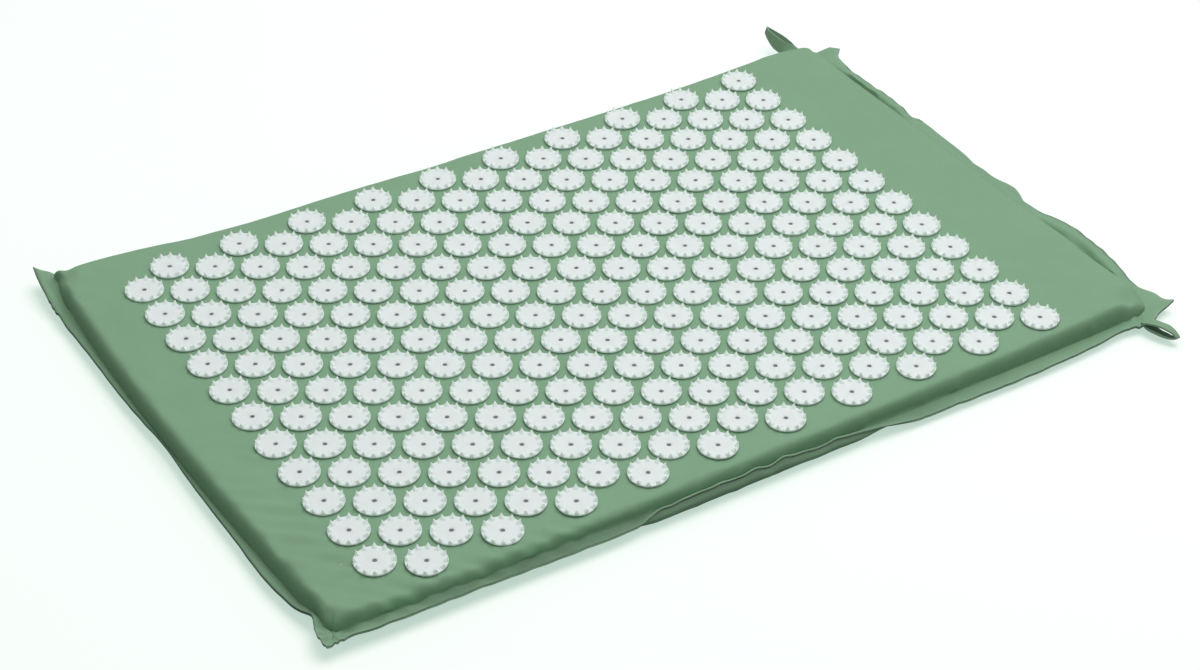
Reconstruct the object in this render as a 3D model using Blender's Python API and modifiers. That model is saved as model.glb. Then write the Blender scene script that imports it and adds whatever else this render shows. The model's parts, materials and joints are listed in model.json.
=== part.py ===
"""Spiked massage mat: a foam pad in a sewn cloth cover, under a field of plastic spiked discs.

Run with blender --background --python part.py, or from Blender's text editor.
Lengths are in metres, +Z is up and +X runs along the mat to its mouth, where the pad goes in.
The origin is at the middle of the underside, on the floor.
"""

import math

import bmesh
import bpy
from mathutils import Matrix, Vector

# Pattern of the discs: columns across the mat, every other one longer by one disc
COLUMNS = 20
SHORT_COLUMN_DISCS = 11
DISC_PITCH = 0.0315
COLUMN_SPACING = 0.0258
SEPARATE_COLUMNS = 2

# One spiked disc
DISC_GAP = 0.0036
DISC_THICKNESS = 0.0018
DISC_DRAFT = 0.0004
RIM_SPIKES = 12
FEWER_SPIKES = 8
SPIKE_HEIGHT = 0.0031
SPIKE_REACH = 0.0014
SPIKE_ROOT = 0.0024
SPIKE_LEAN = 0.0008
DISC_TURN = math.radians(8.0)

# Foam pad and cloth cover
PAD_THICKNESS = 0.0190
CLOTH = 0.0012
CLEARANCE = 0.0003
SIDE_FLANGE = 0.0090
LEFT_FLANGE = 0.0055
SEAM_HEIGHT = 0.0075
SIDE_ROLL = 0.0060
LEFT_ROLL = 0.0100
MOUTH_ROLL = 0.0150
FLOOR_ROLL = 0.0080
ROLL_POWER = 2.5
SIDE_LAND = 0.0003
LEFT_LAND = 0.0195
MOUTH_LAND = 0.0570
SIDE_BULGE = 0.0060
BULGE_POWER = 4
PAD_EASE = 0.0004
EAR_RADIUS = 0.0030
SEAM_CORNER = 0.0080
CROWN_CORNER = 0.0220

# Mouth of the cover, with its hook-and-loop closure
MOUTH_LIP = 0.0170
MOUTH_WIDTH = 0.3500
FLAP_THICKNESS = 0.0016
FLAP_LIFT = 0.0050
TAPE_LENGTH = 0.1000
TAPE_WIDTH = 0.0100
TAPE_THICKNESS = 0.0008

# Hanging loops, folded tapes that stand out from the long seams near the mouth
LOOP_LENGTH = 0.0330
LOOP_WIDTH = 0.0090
LOOP_TAPE = 0.0012
LOOP_EYE_HEIGHT = 0.0066
LOOP_ROOT = 0.0060
LOOP_FROM_MOUTH = 0.0280

# Fineness of the faceted curves
CORNER_STEPS = 3
LONG_SIDE_STEPS = 8
SHORT_SIDE_STEPS = 4
ROLL_STEPS = 5
FLOOR_ROLL_STEPS = 3
FLAP_STEPS = 28
EYE_STEPS = 14
ROOT_STEPS = 4

# Sizes that follow from the ones above
LONG_COLUMN_DISCS = SHORT_COLUMN_DISCS + 1
NEAREST_DISCS = min(DISC_PITCH, math.hypot(COLUMN_SPACING, DISC_PITCH / 2))
DISC_RADIUS = (NEAREST_DISCS - DISC_GAP) / 2
TIP_CIRCLE = DISC_RADIUS - DISC_DRAFT - SPIKE_LEAN
PATTERN_LENGTH = (COLUMNS - 1) * COLUMN_SPACING
PATTERN_WIDTH = (LONG_COLUMN_DISCS - 1) * DISC_PITCH

LEFT_MARGIN = LEFT_FLANGE + LEFT_ROLL + LEFT_LAND + DISC_RADIUS
MOUTH_MARGIN = DISC_RADIUS + MOUTH_LAND + MOUTH_ROLL + MOUTH_LIP
SIDE_MARGIN = DISC_RADIUS + SIDE_LAND + SIDE_ROLL + SIDE_FLANGE
MAT_LENGTH = LEFT_MARGIN + PATTERN_LENGTH + MOUTH_MARGIN
MAT_WIDTH = PATTERN_WIDTH + 2 * SIDE_MARGIN
MAT_END_X = MAT_LENGTH / 2
CORNER_Y = MAT_WIDTH / 2 - SIDE_BULGE

PAD_BOTTOM = CLOTH + CLEARANCE
PAD_TOP = PAD_BOTTOM + PAD_THICKNESS
COVER_TOP = PAD_TOP + CLEARANCE + CLOTH
LOWER_FLANGE_BOTTOM = SEAM_HEIGHT - CLOTH
UPPER_FLANGE_BOTTOM = SEAM_HEIGHT + CLEARANCE
UPPER_FLANGE_TOP = UPPER_FLANGE_BOTTOM + CLOTH
SEAM_MIDDLE = SEAM_HEIGHT + CLEARANCE / 2
DISC_SEAT = COVER_TOP + CLEARANCE

MOUTH_CUT_X = MAT_END_X - MOUTH_LIP + CLEARANCE
FLAP_HINGE_X = MOUTH_CUT_X + CLEARANCE
FLAP_LENGTH = MAT_END_X - FLAP_HINGE_X
LOOP_TAPE_BOTTOM = UPPER_FLANGE_BOTTOM
HOOK_TAPE_BOTTOM = LOOP_TAPE_BOTTOM + TAPE_THICKNESS + CLEARANCE
FLAP_BOTTOM = HOOK_TAPE_BOTTOM + TAPE_THICKNESS + CLEARANCE
FLAP_HINGE_Z = FLAP_BOTTOM + FLAP_THICKNESS
SEWN_DROP = FLAP_BOTTOM - UPPER_FLANGE_BOTTOM


def clear_scene():
    """Remove what a new Blender file holds."""
    for item in list(bpy.data.objects):
        bpy.data.objects.remove(item, do_unlink=True)


def new_collection(name):
    """A collection linked to the scene."""
    collection = bpy.data.collections.new(name)
    bpy.context.scene.collection.children.link(collection)
    return collection


def new_material(name, colour, roughness, metallic=0.0):
    """A Principled material of one colour."""
    material = bpy.data.materials.new(name)
    material.use_nodes = True
    shader = material.node_tree.nodes["Principled BSDF"]
    shader.inputs["Base Color"].default_value = (*colour, 1.0)
    shader.inputs["Roughness"].default_value = roughness
    shader.inputs["Metallic"].default_value = metallic
    material.diffuse_color = (*colour, 1.0)
    return material


def add_object(name, data, collection, material=None):
    """An object in a collection, from a mesh or a curve, with one material."""
    if material is not None and not data.materials:
        data.materials.append(material)
    item = bpy.data.objects.new(name, data)
    collection.objects.link(item)
    return item


def mesh_from(bm, name):
    """A mesh from a bmesh, which is used up."""
    mesh = bpy.data.meshes.new(name)
    bm.to_mesh(mesh)
    bm.free()
    return mesh


def as_guide(item):
    """Mark an object as a cutter or a guide, which isn't part of the mat."""
    item.hide_render = True
    item.display_type = "WIRE"
    return item


def add_boolean(item, operation, other):
    """Join or cut an object with a guide object."""
    modifier = item.modifiers.new(operation.title(), "BOOLEAN")
    modifier.operation = operation
    modifier.solver = "EXACT"
    modifier.object = other


def evaluated_mesh(item, name):
    """A new mesh of an object as it stands, with its modifiers applied."""
    bpy.context.view_layer.update()
    graph = bpy.context.evaluated_depsgraph_get()
    mesh = bpy.data.meshes.new_from_object(item.evaluated_get(graph))
    mesh.name = name
    return mesh


def side_bulge(along):
    """How far a long side swells out past its corners, at 0 to 1 along the side."""
    return SIDE_BULGE * (1.0 - abs(2.0 * along - 1.0) ** BULGE_POWER)


def outline(left_inset, mouth_inset, side_inset, radius):
    """Points round the mat from above, anticlockwise, drawn in from its outer edge."""
    left = -MAT_END_X + left_inset + radius
    right = MAT_END_X - mouth_inset - radius
    half = CORNER_Y - side_inset - radius
    centres = [Vector((right, half)), Vector((left, half)), Vector((left, -half)), Vector((right, -half))]
    points = []
    for index, centre in enumerate(centres):
        start = index * math.pi / 2
        for step in range(CORNER_STEPS + 1):
            angle = start + step * math.pi / 2 / CORNER_STEPS
            points.append(centre + radius * Vector((math.cos(angle), math.sin(angle))))
        is_side = index % 2 == 0
        steps = LONG_SIDE_STEPS if is_side else SHORT_SIDE_STEPS
        first = points[-1]
        last = first + centres[(index + 1) % 4] - centre
        for step in range(1, steps):
            point = first.lerp(last, step / steps)
            if is_side:
                point.y += math.copysign(side_bulge(step / steps), point.y)
            points.append(point)
    return points


def edge_distance(x):
    """Distance of the cover's long outer edge from the middle line, at a place along the mat."""
    points = [point for point in outline(0.0, 0.0, 0.0, EAR_RADIUS) if point.y > 0]
    points.sort(key=lambda point: point.x)
    distance = CORNER_Y
    for before, after in zip(points, points[1:]):
        if before.x <= x < after.x:
            distance = before.lerp(after, (x - before.x) / (after.x - before.x)).y
    return distance


def roll_profile(steps):
    """Shares of reach and of rise, from the seam to the crown of a rolled edge."""
    shares = []
    for step in range(steps + 1):
        angle = step * math.pi / 2 / steps
        inward = 1.0 - math.cos(angle) ** (2 / ROLL_POWER)
        rise = math.sin(angle) ** (2 / ROLL_POWER)
        shares.append((inward, rise))
    return shares


def roll_rings(bm, seam_z, crown_z, rolls, draw_in, steps):
    """Rings of vertices from the seam line to the flat of the top or of the underside.

    The three rolls are the depths of the rounded edge at the closed end, the mouth and the sides.
    """
    left_roll, mouth_roll, side_roll = rolls
    rings = []
    for inward, rise in roll_profile(steps):
        points = outline(
            LEFT_FLANGE + draw_in + inward * left_roll,
            MOUTH_LIP + draw_in + inward * mouth_roll,
            SIDE_FLANGE + draw_in + inward * side_roll,
            SEAM_CORNER + inward * (CROWN_CORNER - SEAM_CORNER),
        )
        z = seam_z + rise * (crown_z - seam_z)
        rings.append([bm.verts.new((*point, z)) for point in points])
    return rings


def flange_ring(bm, z):
    """The ring of vertices on the outer edge of a seam flange."""
    return [bm.verts.new((*point, z)) for point in outline(0.0, 0.0, 0.0, EAR_RADIUS)]


def loft(bm, rings, upward):
    """Skin rings of vertices, and close the last ring with one flat face."""
    for outer, inner in zip(rings, rings[1:]):
        count = len(outer)
        for index in range(count):
            after = (index + 1) % count
            corners = [outer[index], outer[after], inner[after], inner[index]]
            bm.faces.new(corners if upward else corners[::-1])
    last = rings[-1]
    bm.faces.new(last if upward else last[::-1])


def add_wall(item, thickness):
    """Give an open surface its thickness of cloth, inwards."""
    modifier = item.modifiers.new("Cloth", "SOLIDIFY")
    modifier.thickness = thickness
    modifier.offset = -1.0
    modifier.use_even_offset = True


def disc_places():
    """Column number and centre of every disc, from the closed end to the mouth."""
    places = []
    for column in range(COLUMNS):
        count = LONG_COLUMN_DISCS if column % 2 else SHORT_COLUMN_DISCS
        x = -MAT_END_X + LEFT_MARGIN + column * COLUMN_SPACING
        for row in range(count):
            y = ((count - 1) / 2 - row) * DISC_PITCH
            places.append((column, x, y))
    return places


def is_separate(column):
    """Whether a column's discs are pieces of their own, as at both ends of the pattern."""
    return column < SEPARATE_COLUMNS or column >= COLUMNS - SEPARATE_COLUMNS


def add_disc_plate(bm, sides, thickness):
    """The plate of one disc, slightly narrower at its top, with its underside at the origin."""
    place = Matrix.Translation((0.0, 0.0, thickness / 2)) @ Matrix.Rotation(DISC_TURN, 4, "Z")
    bmesh.ops.create_cone(
        bm,
        cap_ends=True,
        segments=sides,
        radius1=DISC_RADIUS,
        radius2=DISC_RADIUS - DISC_DRAFT,
        depth=thickness,
        matrix=place,
    )


def cut_corners(bm, thickness):
    """Cut a small face at each upper corner of the plate, down to its underside."""
    corners = [vertex for vertex in bm.verts if vertex.co.z > thickness / 2]
    cut = bmesh.ops.bevel(bm, geom=corners, affect="VERTICES", offset=SPIKE_REACH, segments=1)
    uprights = [edge for edge in bm.edges if is_below_cut(edge, cut["verts"])]
    bmesh.ops.weld_verts(bm, targetmap={higher(edge): lower(edge) for edge in uprights})
    return [face for face in bm.faces if len(face.verts) == 3]


def is_below_cut(edge, cut):
    """Whether an edge is what is left of an upright corner below its cut."""
    return higher(edge) in cut and lower(edge) not in cut


def higher(edge):
    """The upper end of an edge."""
    return max(edge.verts, key=lambda vertex: vertex.co.z)


def lower(edge):
    """The lower end of an edge."""
    return min(edge.verts, key=lambda vertex: vertex.co.z)


def widen_roots(bm, faces, thickness):
    """Draw the inner edge of each corner's cut in towards the disc's middle."""
    inner = [edge for face in faces for edge in face.edges if lower(edge).co.z > thickness / 2]
    halved = bmesh.ops.subdivide_edges(bm, edges=inner, cuts=1)
    for vertex in halved["geom_inner"]:
        if isinstance(vertex, bmesh.types.BMVert):
            vertex.co.xy *= 1.0 - SPIKE_ROOT / DISC_RADIUS


def make_disc_mesh(spikes, thickness, deep_roots):
    """One moulded disc: a thin plate whose rim is drawn up to a spike at each of its corners."""
    bm = bmesh.new()
    add_disc_plate(bm, spikes, thickness)
    faces = cut_corners(bm, thickness)
    if deep_roots:
        widen_roots(bm, faces, thickness)
    for tip in bmesh.ops.poke(bm, faces=faces)["verts"]:
        tip.co = (*(tip.co.xy.normalized() * TIP_CIRCLE), thickness + SPIKE_HEIGHT)
    return mesh_from(bm, "spiked_disc")


def make_spiked_discs(parts, plastic):
    """The discs of the end columns, each a piece of its own, all from one mesh."""
    mesh = make_disc_mesh(RIM_SPIKES, DISC_THICKNESS, deep_roots=True)
    places = [(x, y) for column, x, y in disc_places() if is_separate(column)]
    for number, (x, y) in enumerate(places, start=1):
        disc = add_object(f"spiked_disc_{number:02d}", mesh, parts, plastic)
        disc.location = (x, y, DISC_SEAT)


def make_inner_discs_guide(guides, plastic):
    """The inner columns' discs, plainer and joined with the top panel, each on a sunk foot."""
    disc = make_disc_mesh(FEWER_SPIKES, DISC_SEAT + DISC_THICKNESS - COVER_TOP, deep_roots=False)
    bm = bmesh.new()
    for column, x, y in disc_places():
        if not is_separate(column):
            before = set(bm.verts)
            bm.from_mesh(disc)
            added = [vertex for vertex in bm.verts if vertex not in before]
            bmesh.ops.translate(bm, verts=added, vec=(x, y, COVER_TOP))
    undersides = [face for face in bm.faces if face.normal.z < -0.9]
    foot = bmesh.ops.extrude_discrete_faces(bm, faces=undersides)["faces"]
    sunk = [vertex for face in foot for vertex in face.verts]
    bmesh.ops.translate(bm, verts=sunk, vec=(0.0, 0.0, -CLOTH / 3))
    return as_guide(add_object("inner_discs_guide", mesh_from(bm, "inner_discs"), guides, plastic))


def make_mouth_cutter(guides):
    """The space between the sewn ends of the mouth, which the closure flap takes."""
    bm = bmesh.new()
    size = Vector((2 * MOUTH_LIP, MOUTH_WIDTH, 2 * COVER_TOP))
    place = Matrix.Translation((MOUTH_CUT_X + size.x / 2, 0.0, 0.0))
    bmesh.ops.create_cube(bm, size=1.0, matrix=place @ Matrix.Diagonal((*size, 1.0)))
    return as_guide(add_object("mouth_cutter", mesh_from(bm, "mouth_cutter"), guides))


def make_cover_top_panel(parts, guides, cloth, plastic):
    """Top of the cover: a flat crown, rolled edges and a seam flange, with the inner discs."""
    bm = bmesh.new()
    flange = flange_ring(bm, UPPER_FLANGE_TOP)
    rolls = (LEFT_ROLL, MOUTH_ROLL, SIDE_ROLL)
    roll = roll_rings(bm, UPPER_FLANGE_TOP, COVER_TOP, rolls, 0.0, ROLL_STEPS)
    loft(bm, [flange] + roll, upward=True)
    panel = add_object("cover_top_panel", mesh_from(bm, "cover_top_panel"), parts, cloth)
    add_wall(panel, CLOTH)
    add_boolean(panel, "DIFFERENCE", make_mouth_cutter(guides))
    add_boolean(panel, "UNION", make_inner_discs_guide(guides, plastic))


def make_cover_bottom_panel(parts, cloth):
    """Underside of the cover, flat on the floor and turned up to the seam flange."""
    bm = bmesh.new()
    flange = flange_ring(bm, LOWER_FLANGE_BOTTOM)
    rolls = (FLOOR_ROLL, FLOOR_ROLL, FLOOR_ROLL)
    roll = roll_rings(bm, LOWER_FLANGE_BOTTOM, 0.0, rolls, 0.0, FLOOR_ROLL_STEPS)
    loft(bm, [flange] + roll, upward=False)
    panel = add_object("cover_bottom_panel", mesh_from(bm, "cover_bottom_panel"), parts, cloth)
    add_wall(panel, CLOTH)


def make_foam_pad(parts, foam):
    """The foam pad, rounded all round to the inside of the cover."""
    bm = bmesh.new()
    wall = CLOTH + CLEARANCE
    draw_in = wall + PAD_EASE
    upper_rolls = (LEFT_ROLL - wall, MOUTH_ROLL - wall, SIDE_ROLL - wall)
    lower_rolls = (FLOOR_ROLL - wall, FLOOR_ROLL - wall, FLOOR_ROLL - wall)
    upper = roll_rings(bm, SEAM_MIDDLE, PAD_TOP, upper_rolls, draw_in, ROLL_STEPS)
    lower = roll_rings(bm, SEAM_MIDDLE, PAD_BOTTOM, lower_rolls, draw_in, FLOOR_ROLL_STEPS)
    loft(bm, upper, upward=True)
    loft(bm, lower, upward=False)
    bmesh.ops.remove_doubles(bm, verts=bm.verts, dist=CLEARANCE / 10)
    add_object("foam_pad", mesh_from(bm, "foam_pad"), parts, foam)


def flap_wave(y):
    """Height of the flap's free edge: held down at the tape, gaping beside it, sewn at its ends."""
    held = TAPE_LENGTH / 2
    along = (abs(y) - held) / (MOUTH_WIDTH / 2 - held)
    along = min(max(along, 0.0), 1.0)
    gape = FLAP_LIFT * math.sin(math.pi * along) ** 2
    sewn = SEWN_DROP * max(0.0, 2.0 * along - 1.0)
    return gape - sewn


def make_closure_flap(parts, cloth):
    """The doubled hem of the top panel's end, with its origin on the line where it bends."""
    bm = bmesh.new()
    size = (FLAP_LENGTH, MOUTH_WIDTH - 2 * CLEARANCE, 1.0, 1.0)
    place = Matrix.Translation((FLAP_LENGTH / 2, 0.0, 0.0)) @ Matrix.Diagonal(size)
    bmesh.ops.create_grid(bm, x_segments=1, y_segments=FLAP_STEPS, size=0.5, matrix=place)
    for vertex in bm.verts:
        vertex.co.z += flap_wave(vertex.co.y) * vertex.co.x / FLAP_LENGTH
    upper = list(bm.faces)
    lower = bmesh.ops.extrude_face_region(bm, geom=upper, use_keep_orig=True)
    moved = [item for item in lower["geom"] if isinstance(item, bmesh.types.BMVert)]
    bmesh.ops.translate(bm, verts=moved, vec=(0.0, 0.0, -FLAP_THICKNESS))
    bmesh.ops.recalc_face_normals(bm, faces=bm.faces)
    flap = add_object("closure_flap", mesh_from(bm, "closure_flap"), parts, cloth)
    flap.location = (FLAP_HINGE_X, 0.0, FLAP_HINGE_Z)
    return flap


def make_tape_mesh(name):
    """One half of the hook-and-loop tape, with rounded corners, its origin at its middle."""
    bm = bmesh.new()
    size = Matrix.Diagonal((TAPE_WIDTH, TAPE_LENGTH, TAPE_THICKNESS, 1.0))
    bmesh.ops.create_cube(bm, size=1.0, matrix=size)
    upright = [edge for edge in bm.edges if edge.verts[0].co.xy == edge.verts[1].co.xy]
    bmesh.ops.bevel(bm, geom=upright, offset=TAPE_WIDTH / 6, segments=2, profile=0.5, affect="EDGES")
    return mesh_from(bm, name)


def make_closure_tapes(flap, parts, hook, pile):
    """Hook tape under the flap, and loop tape on the lower lip that it closes on."""
    hook_tape = add_object("closure_hook_tape", make_tape_mesh("hook_tape"), parts, hook)
    hook_tape.parent = flap
    below_flap = HOOK_TAPE_BOTTOM + TAPE_THICKNESS / 2 - FLAP_HINGE_Z
    hook_tape.location = (FLAP_LENGTH / 2, 0.0, below_flap)
    loop_tape = add_object("closure_loop_tape", make_tape_mesh("loop_tape"), parts, pile)
    middle = FLAP_HINGE_X + FLAP_LENGTH / 2
    loop_tape.location = (middle, 0.0, LOOP_TAPE_BOTTOM + TAPE_THICKNESS / 2)


def arc(middle, reach, half, start, end, steps):
    """Points along part of an oval, in a hanging loop's side view."""
    points = []
    for step in range(steps + 1):
        angle = start + step * (end - start) / steps
        points.append((middle + reach * math.cos(angle), half * math.sin(angle)))
    return points


def make_hanging_loop_mesh(guides):
    """A tape folded in two: flat together at its rounded root, open round an eye past it."""
    reach = (LOOP_LENGTH - 2 * LOOP_TAPE - LOOP_ROOT) / 2
    middle = LOOP_ROOT + reach
    half = LOOP_EYE_HEIGHT / 2
    eye = arc(middle, reach, half, 0.0, math.tau, EYE_STEPS)[:-1]
    meet = math.pi - math.asin(LOOP_TAPE / (half + LOOP_TAPE))
    outside = arc(middle, reach + LOOP_TAPE, half + LOOP_TAPE, -meet, meet, EYE_STEPS)
    outside += arc(0.0, LOOP_TAPE, LOOP_TAPE, math.pi / 2, math.pi * 3 / 2, ROOT_STEPS)
    curve = bpy.data.curves.new("hanging_loop", "CURVE")
    curve.dimensions = "2D"
    curve.fill_mode = "BOTH"
    curve.extrude = LOOP_WIDTH / 2
    for points in (outside, eye):
        spline = curve.splines.new("POLY")
        spline.points.add(len(points) - 1)
        for target, (out, up) in zip(spline.points, points):
            target.co = (out, up, 0.0, 1.0)
        spline.use_cyclic_u = True
    drawing = as_guide(add_object("hanging_loop_drawing", curve, guides))
    mesh = evaluated_mesh(drawing, "hanging_loop")
    bpy.data.objects.remove(drawing, do_unlink=True)
    bm = bmesh.new()
    bm.from_mesh(mesh)
    bmesh.ops.remove_doubles(bm, verts=bm.verts, dist=CLEARANCE / 10)
    bm.to_mesh(mesh)
    bm.free()
    return mesh


def make_hanging_loops(parts, guides, cloth):
    """One loop at each long seam near the mouth, with its origin where it bends at the seam."""
    mesh = make_hanging_loop_mesh(guides)
    middle = MAT_END_X - LOOP_FROM_MOUTH
    edge = max(edge_distance(middle - LOOP_WIDTH / 2), edge_distance(middle + LOOP_WIDTH / 2))
    for name, side in (("hanging_loop_back", 1), ("hanging_loop_front", -1)):
        loop = add_object(name, mesh, parts, cloth)
        loop.location = (middle, side * (edge + CLEARANCE + LOOP_TAPE), SEAM_MIDDLE)
        loop.rotation_euler = (math.pi / 2, 0.0, side * math.pi / 2)


def main():
    """Build every piece of the mat."""
    clear_scene()
    parts = new_collection("massage_mat")
    guides = new_collection("massage_mat_guides")
    sage = new_material("sage_cotton", (0.215, 0.370, 0.235), 0.90)
    plastic = new_material("white_plastic", (0.760, 0.830, 0.840), 0.40)
    foam = new_material("pad_foam", (0.780, 0.740, 0.600), 0.95)
    hook = new_material("hook_tape", (0.190, 0.330, 0.210), 0.70)
    pile = new_material("loop_tape", (0.205, 0.350, 0.225), 0.95)

    make_cover_bottom_panel(parts, sage)
    make_foam_pad(parts, foam)
    make_cover_top_panel(parts, guides, sage, plastic)
    flap = make_closure_flap(parts, sage)
    make_closure_tapes(flap, parts, hook, pile)
    make_hanging_loops(parts, guides, sage)
    make_spiked_discs(parts, plastic)


main()
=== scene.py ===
"""Looks of a spiked massage mat: cloth cover, foam pad, moulded discs, tapes, loops and stitching.

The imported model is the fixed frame: every piece takes its place and size from its nodes.
Lengths are in metres, +Z is up and +X runs along the mat to the mouth of its cover.
"""

import json
import math
import random
from collections import namedtuple

import bmesh
import bpy
import numpy as np
from mathutils import Matrix, Vector
from mathutils.bvhtree import BVHTree


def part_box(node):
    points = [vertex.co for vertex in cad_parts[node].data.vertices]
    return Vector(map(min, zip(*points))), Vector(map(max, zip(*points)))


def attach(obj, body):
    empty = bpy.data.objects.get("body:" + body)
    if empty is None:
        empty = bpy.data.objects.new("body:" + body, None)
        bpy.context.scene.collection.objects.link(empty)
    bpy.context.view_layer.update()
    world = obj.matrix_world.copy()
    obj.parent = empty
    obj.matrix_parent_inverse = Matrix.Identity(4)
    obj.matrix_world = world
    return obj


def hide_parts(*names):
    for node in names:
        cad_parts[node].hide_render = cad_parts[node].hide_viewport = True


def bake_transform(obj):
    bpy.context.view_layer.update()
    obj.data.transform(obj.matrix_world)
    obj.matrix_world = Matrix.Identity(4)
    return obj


bl_info = {
    "name": "Massage mat looks",
    "version": (1, 0, 0),
    "blender": (4, 5, 0),
    "location": "3D View > Sidebar > Massage mat",
    "description": "Models the cloth, discs, tapes, loops and stitching of a spiked massage mat",
    "category": "Object",
}

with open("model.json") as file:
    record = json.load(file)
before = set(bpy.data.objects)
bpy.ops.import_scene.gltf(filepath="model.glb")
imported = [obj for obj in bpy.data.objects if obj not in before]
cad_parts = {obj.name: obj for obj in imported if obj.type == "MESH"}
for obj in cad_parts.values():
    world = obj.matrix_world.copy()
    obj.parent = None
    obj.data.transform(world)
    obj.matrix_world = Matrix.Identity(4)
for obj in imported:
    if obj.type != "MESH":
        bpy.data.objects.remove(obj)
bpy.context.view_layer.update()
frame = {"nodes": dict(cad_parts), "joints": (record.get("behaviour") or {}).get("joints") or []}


def node_box(name):
    """Lowest and highest corners of one solid of the frame."""
    low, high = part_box(name)
    return Vector(low), Vector(high)


def node_middle(name):
    """Middle of one solid's box."""
    low, high = node_box(name)
    return (low + high) / 2


# Clearance between two solids, as under a disc, and how far a disc is sunk into it here
CLEARANCE = 0.0003
DISC_SINK = 0.0001

# Sizes and places read from the frame
DISC_NODES = sorted(name for name in frame["nodes"] if name.startswith("spiked_disc_"))
FIRST_DISC = node_middle(DISC_NODES[0])
LAST_DISC = node_middle(DISC_NODES[-1])
DISC_PITCH = FIRST_DISC.y - node_middle(DISC_NODES[1]).y
SHORT_COLUMN = round(2 * FIRST_DISC.y / DISC_PITCH) + 1
SECOND_COLUMN = node_middle(DISC_NODES[SHORT_COLUMN])
COLUMN_SPACING = SECOND_COLUMN.x - FIRST_DISC.x
COLUMNS = round((LAST_DISC.x - FIRST_DISC.x) / COLUMN_SPACING) + 1
DISC_BOTTOM = node_box(DISC_NODES[0])[0].z
SPIKE_TIP = node_box(DISC_NODES[0])[1].z
CROWN_Z = DISC_BOTTOM - CLEARANCE
MAT_END_X = node_box("cover_bottom_panel")[1].x
HALF_WIDTH = node_box("cover_bottom_panel")[1].y
PAD_LOW, PAD_HIGH = node_box("foam_pad")
FLAP_BEND = next(joint for joint in frame["joints"] if joint["name"] == "mouth_flap_bend")
HINGE = Vector(FLAP_BEND["pos_m"])
TAPE_LOW, TAPE_HIGH = node_box("closure_loop_tape")
MOUTH_HALF = node_box("closure_flap")[1].y + CLEARANCE

# The cover's form, where it is the solids' own
SIDE_BULGE = 0.0060
BULGE_POWER = 4
CLOTH = 0.0008
SIDE_FLANGE = 0.0072
CLOSED_EDGE_X = -MAT_END_X - 0.0045


class Value:
    """A socket of numbers that takes part in sums, so that a mask is written as an expression."""

    def __init__(self, nodes, socket):
        self.nodes = nodes
        self.socket = socket

    def maths(self, operation, *others):
        """One Math node, with this value first."""
        values = dict(enumerate((self, *others)))
        return self.nodes.node("ShaderNodeMath", {"operation": operation}, values)

    def __add__(self, other):
        return self.maths("ADD", other)

    __radd__ = __add__

    def __sub__(self, other):
        return self.maths("SUBTRACT", other)

    def __rsub__(self, other):
        return self.nodes.node("ShaderNodeMath", {"operation": "SUBTRACT"}, {0: other, 1: self})

    def __mul__(self, other):
        return self.maths("MULTIPLY", other)

    __rmul__ = __mul__

    def sine(self):
        """The sine, from -1 to 1."""
        return self.maths("SINE")

    def size(self):
        """The value without its sign."""
        return self.maths("ABSOLUTE")

    def above(self, low, high):
        """0 below the low value, 1 above the high one, smooth between."""
        values = {"Value": self, "From Min": low, "From Max": high}
        return self.nodes.node("ShaderNodeMapRange", {"interpolation_type": "SMOOTHSTEP"}, values)


class Nodes:
    """The nodes of a material or of the world."""

    def __init__(self, owner):
        owner.use_nodes = True
        self.tree = owner.node_tree

    def node(self, kind, settings, values, output=0):
        """A node of one kind, with its settings made first and then its values or links."""
        item = self.tree.nodes.new(kind)
        for setting, value in settings.items():
            setattr(item, setting, value)
        for place, value in values.items():
            self.feed(item.inputs[place], value)
        return Value(self, item.outputs[output])

    def feed(self, socket, value):
        """Set a socket, or link what is computed to it."""
        if isinstance(value, Value):
            self.tree.links.new(value.socket, socket)
        elif isinstance(value, tuple) and len(value) == 3 and socket.type == "RGBA":
            socket.default_value = (*value, 1.0)
        else:
            socket.default_value = value


class Finish(Nodes):
    """A material and the nodes of its Principled shader."""

    def __init__(self, name, roughness, metallic=0.0, **constants):
        self.material = bpy.data.materials.new(name)
        super().__init__(self.material)
        self.shader = self.tree.nodes["Principled BSDF"]
        self.shader.inputs["Roughness"].default_value = roughness
        self.shader.inputs["Metallic"].default_value = metallic
        for socket, value in constants.items():
            self.shader.inputs[socket.replace("_", " ")].default_value = value

    def place(self):
        """Object coordinates, which stay on the piece."""
        return self.node("ShaderNodeTexCoord", {}, {}, "Object")

    def threads(self):
        """The two coordinates of the cloth, in metres along its threads."""
        cloth = self.node("ShaderNodeUVMap", {}, {})
        return [self.node("ShaderNodeSeparateXYZ", {}, {0: cloth}, axis) for axis in "XY"]

    def speckle(self, size, detail=2.0):
        """Noise from 0 to 1 with spots of one size."""
        values = {"Vector": self.place(), "Scale": 1.0 / size, "Detail": detail}
        return self.node("ShaderNodeTexNoise", {}, values)

    def share(self, name):
        """A value from 0 to 1 that the piece's mesh holds."""
        return self.node("ShaderNodeAttribute", {"attribute_name": name}, {}, "Fac")

    def mix(self, mask, first, second, blend="MIX"):
        """The first colour where the mask is 0 and the second, or their blend, where it is 1."""
        values = {0: mask, 6: first, 7: second}
        return self.node("ShaderNodeMix", {"data_type": "RGBA", "blend_type": blend}, values, 2)

    def bump(self, height, distance, strength=1.0):
        """Lift the surface by a height from 0 to 1, times a distance."""
        values = {"Height": height, "Distance": distance, "Strength": strength}
        self.feed(self.shader.inputs["Normal"], self.node("ShaderNodeBump", {}, values))

    def colour(self, value):
        """Give the surface its colour."""
        self.feed(self.shader.inputs["Base Color"], value)

    def roughness(self, value):
        """Give the surface its roughness."""
        self.feed(self.shader.inputs["Roughness"], value)


def times(colour, share):
    """A colour made lighter or darker by one share."""
    return tuple(channel * share for channel in colour)


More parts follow.
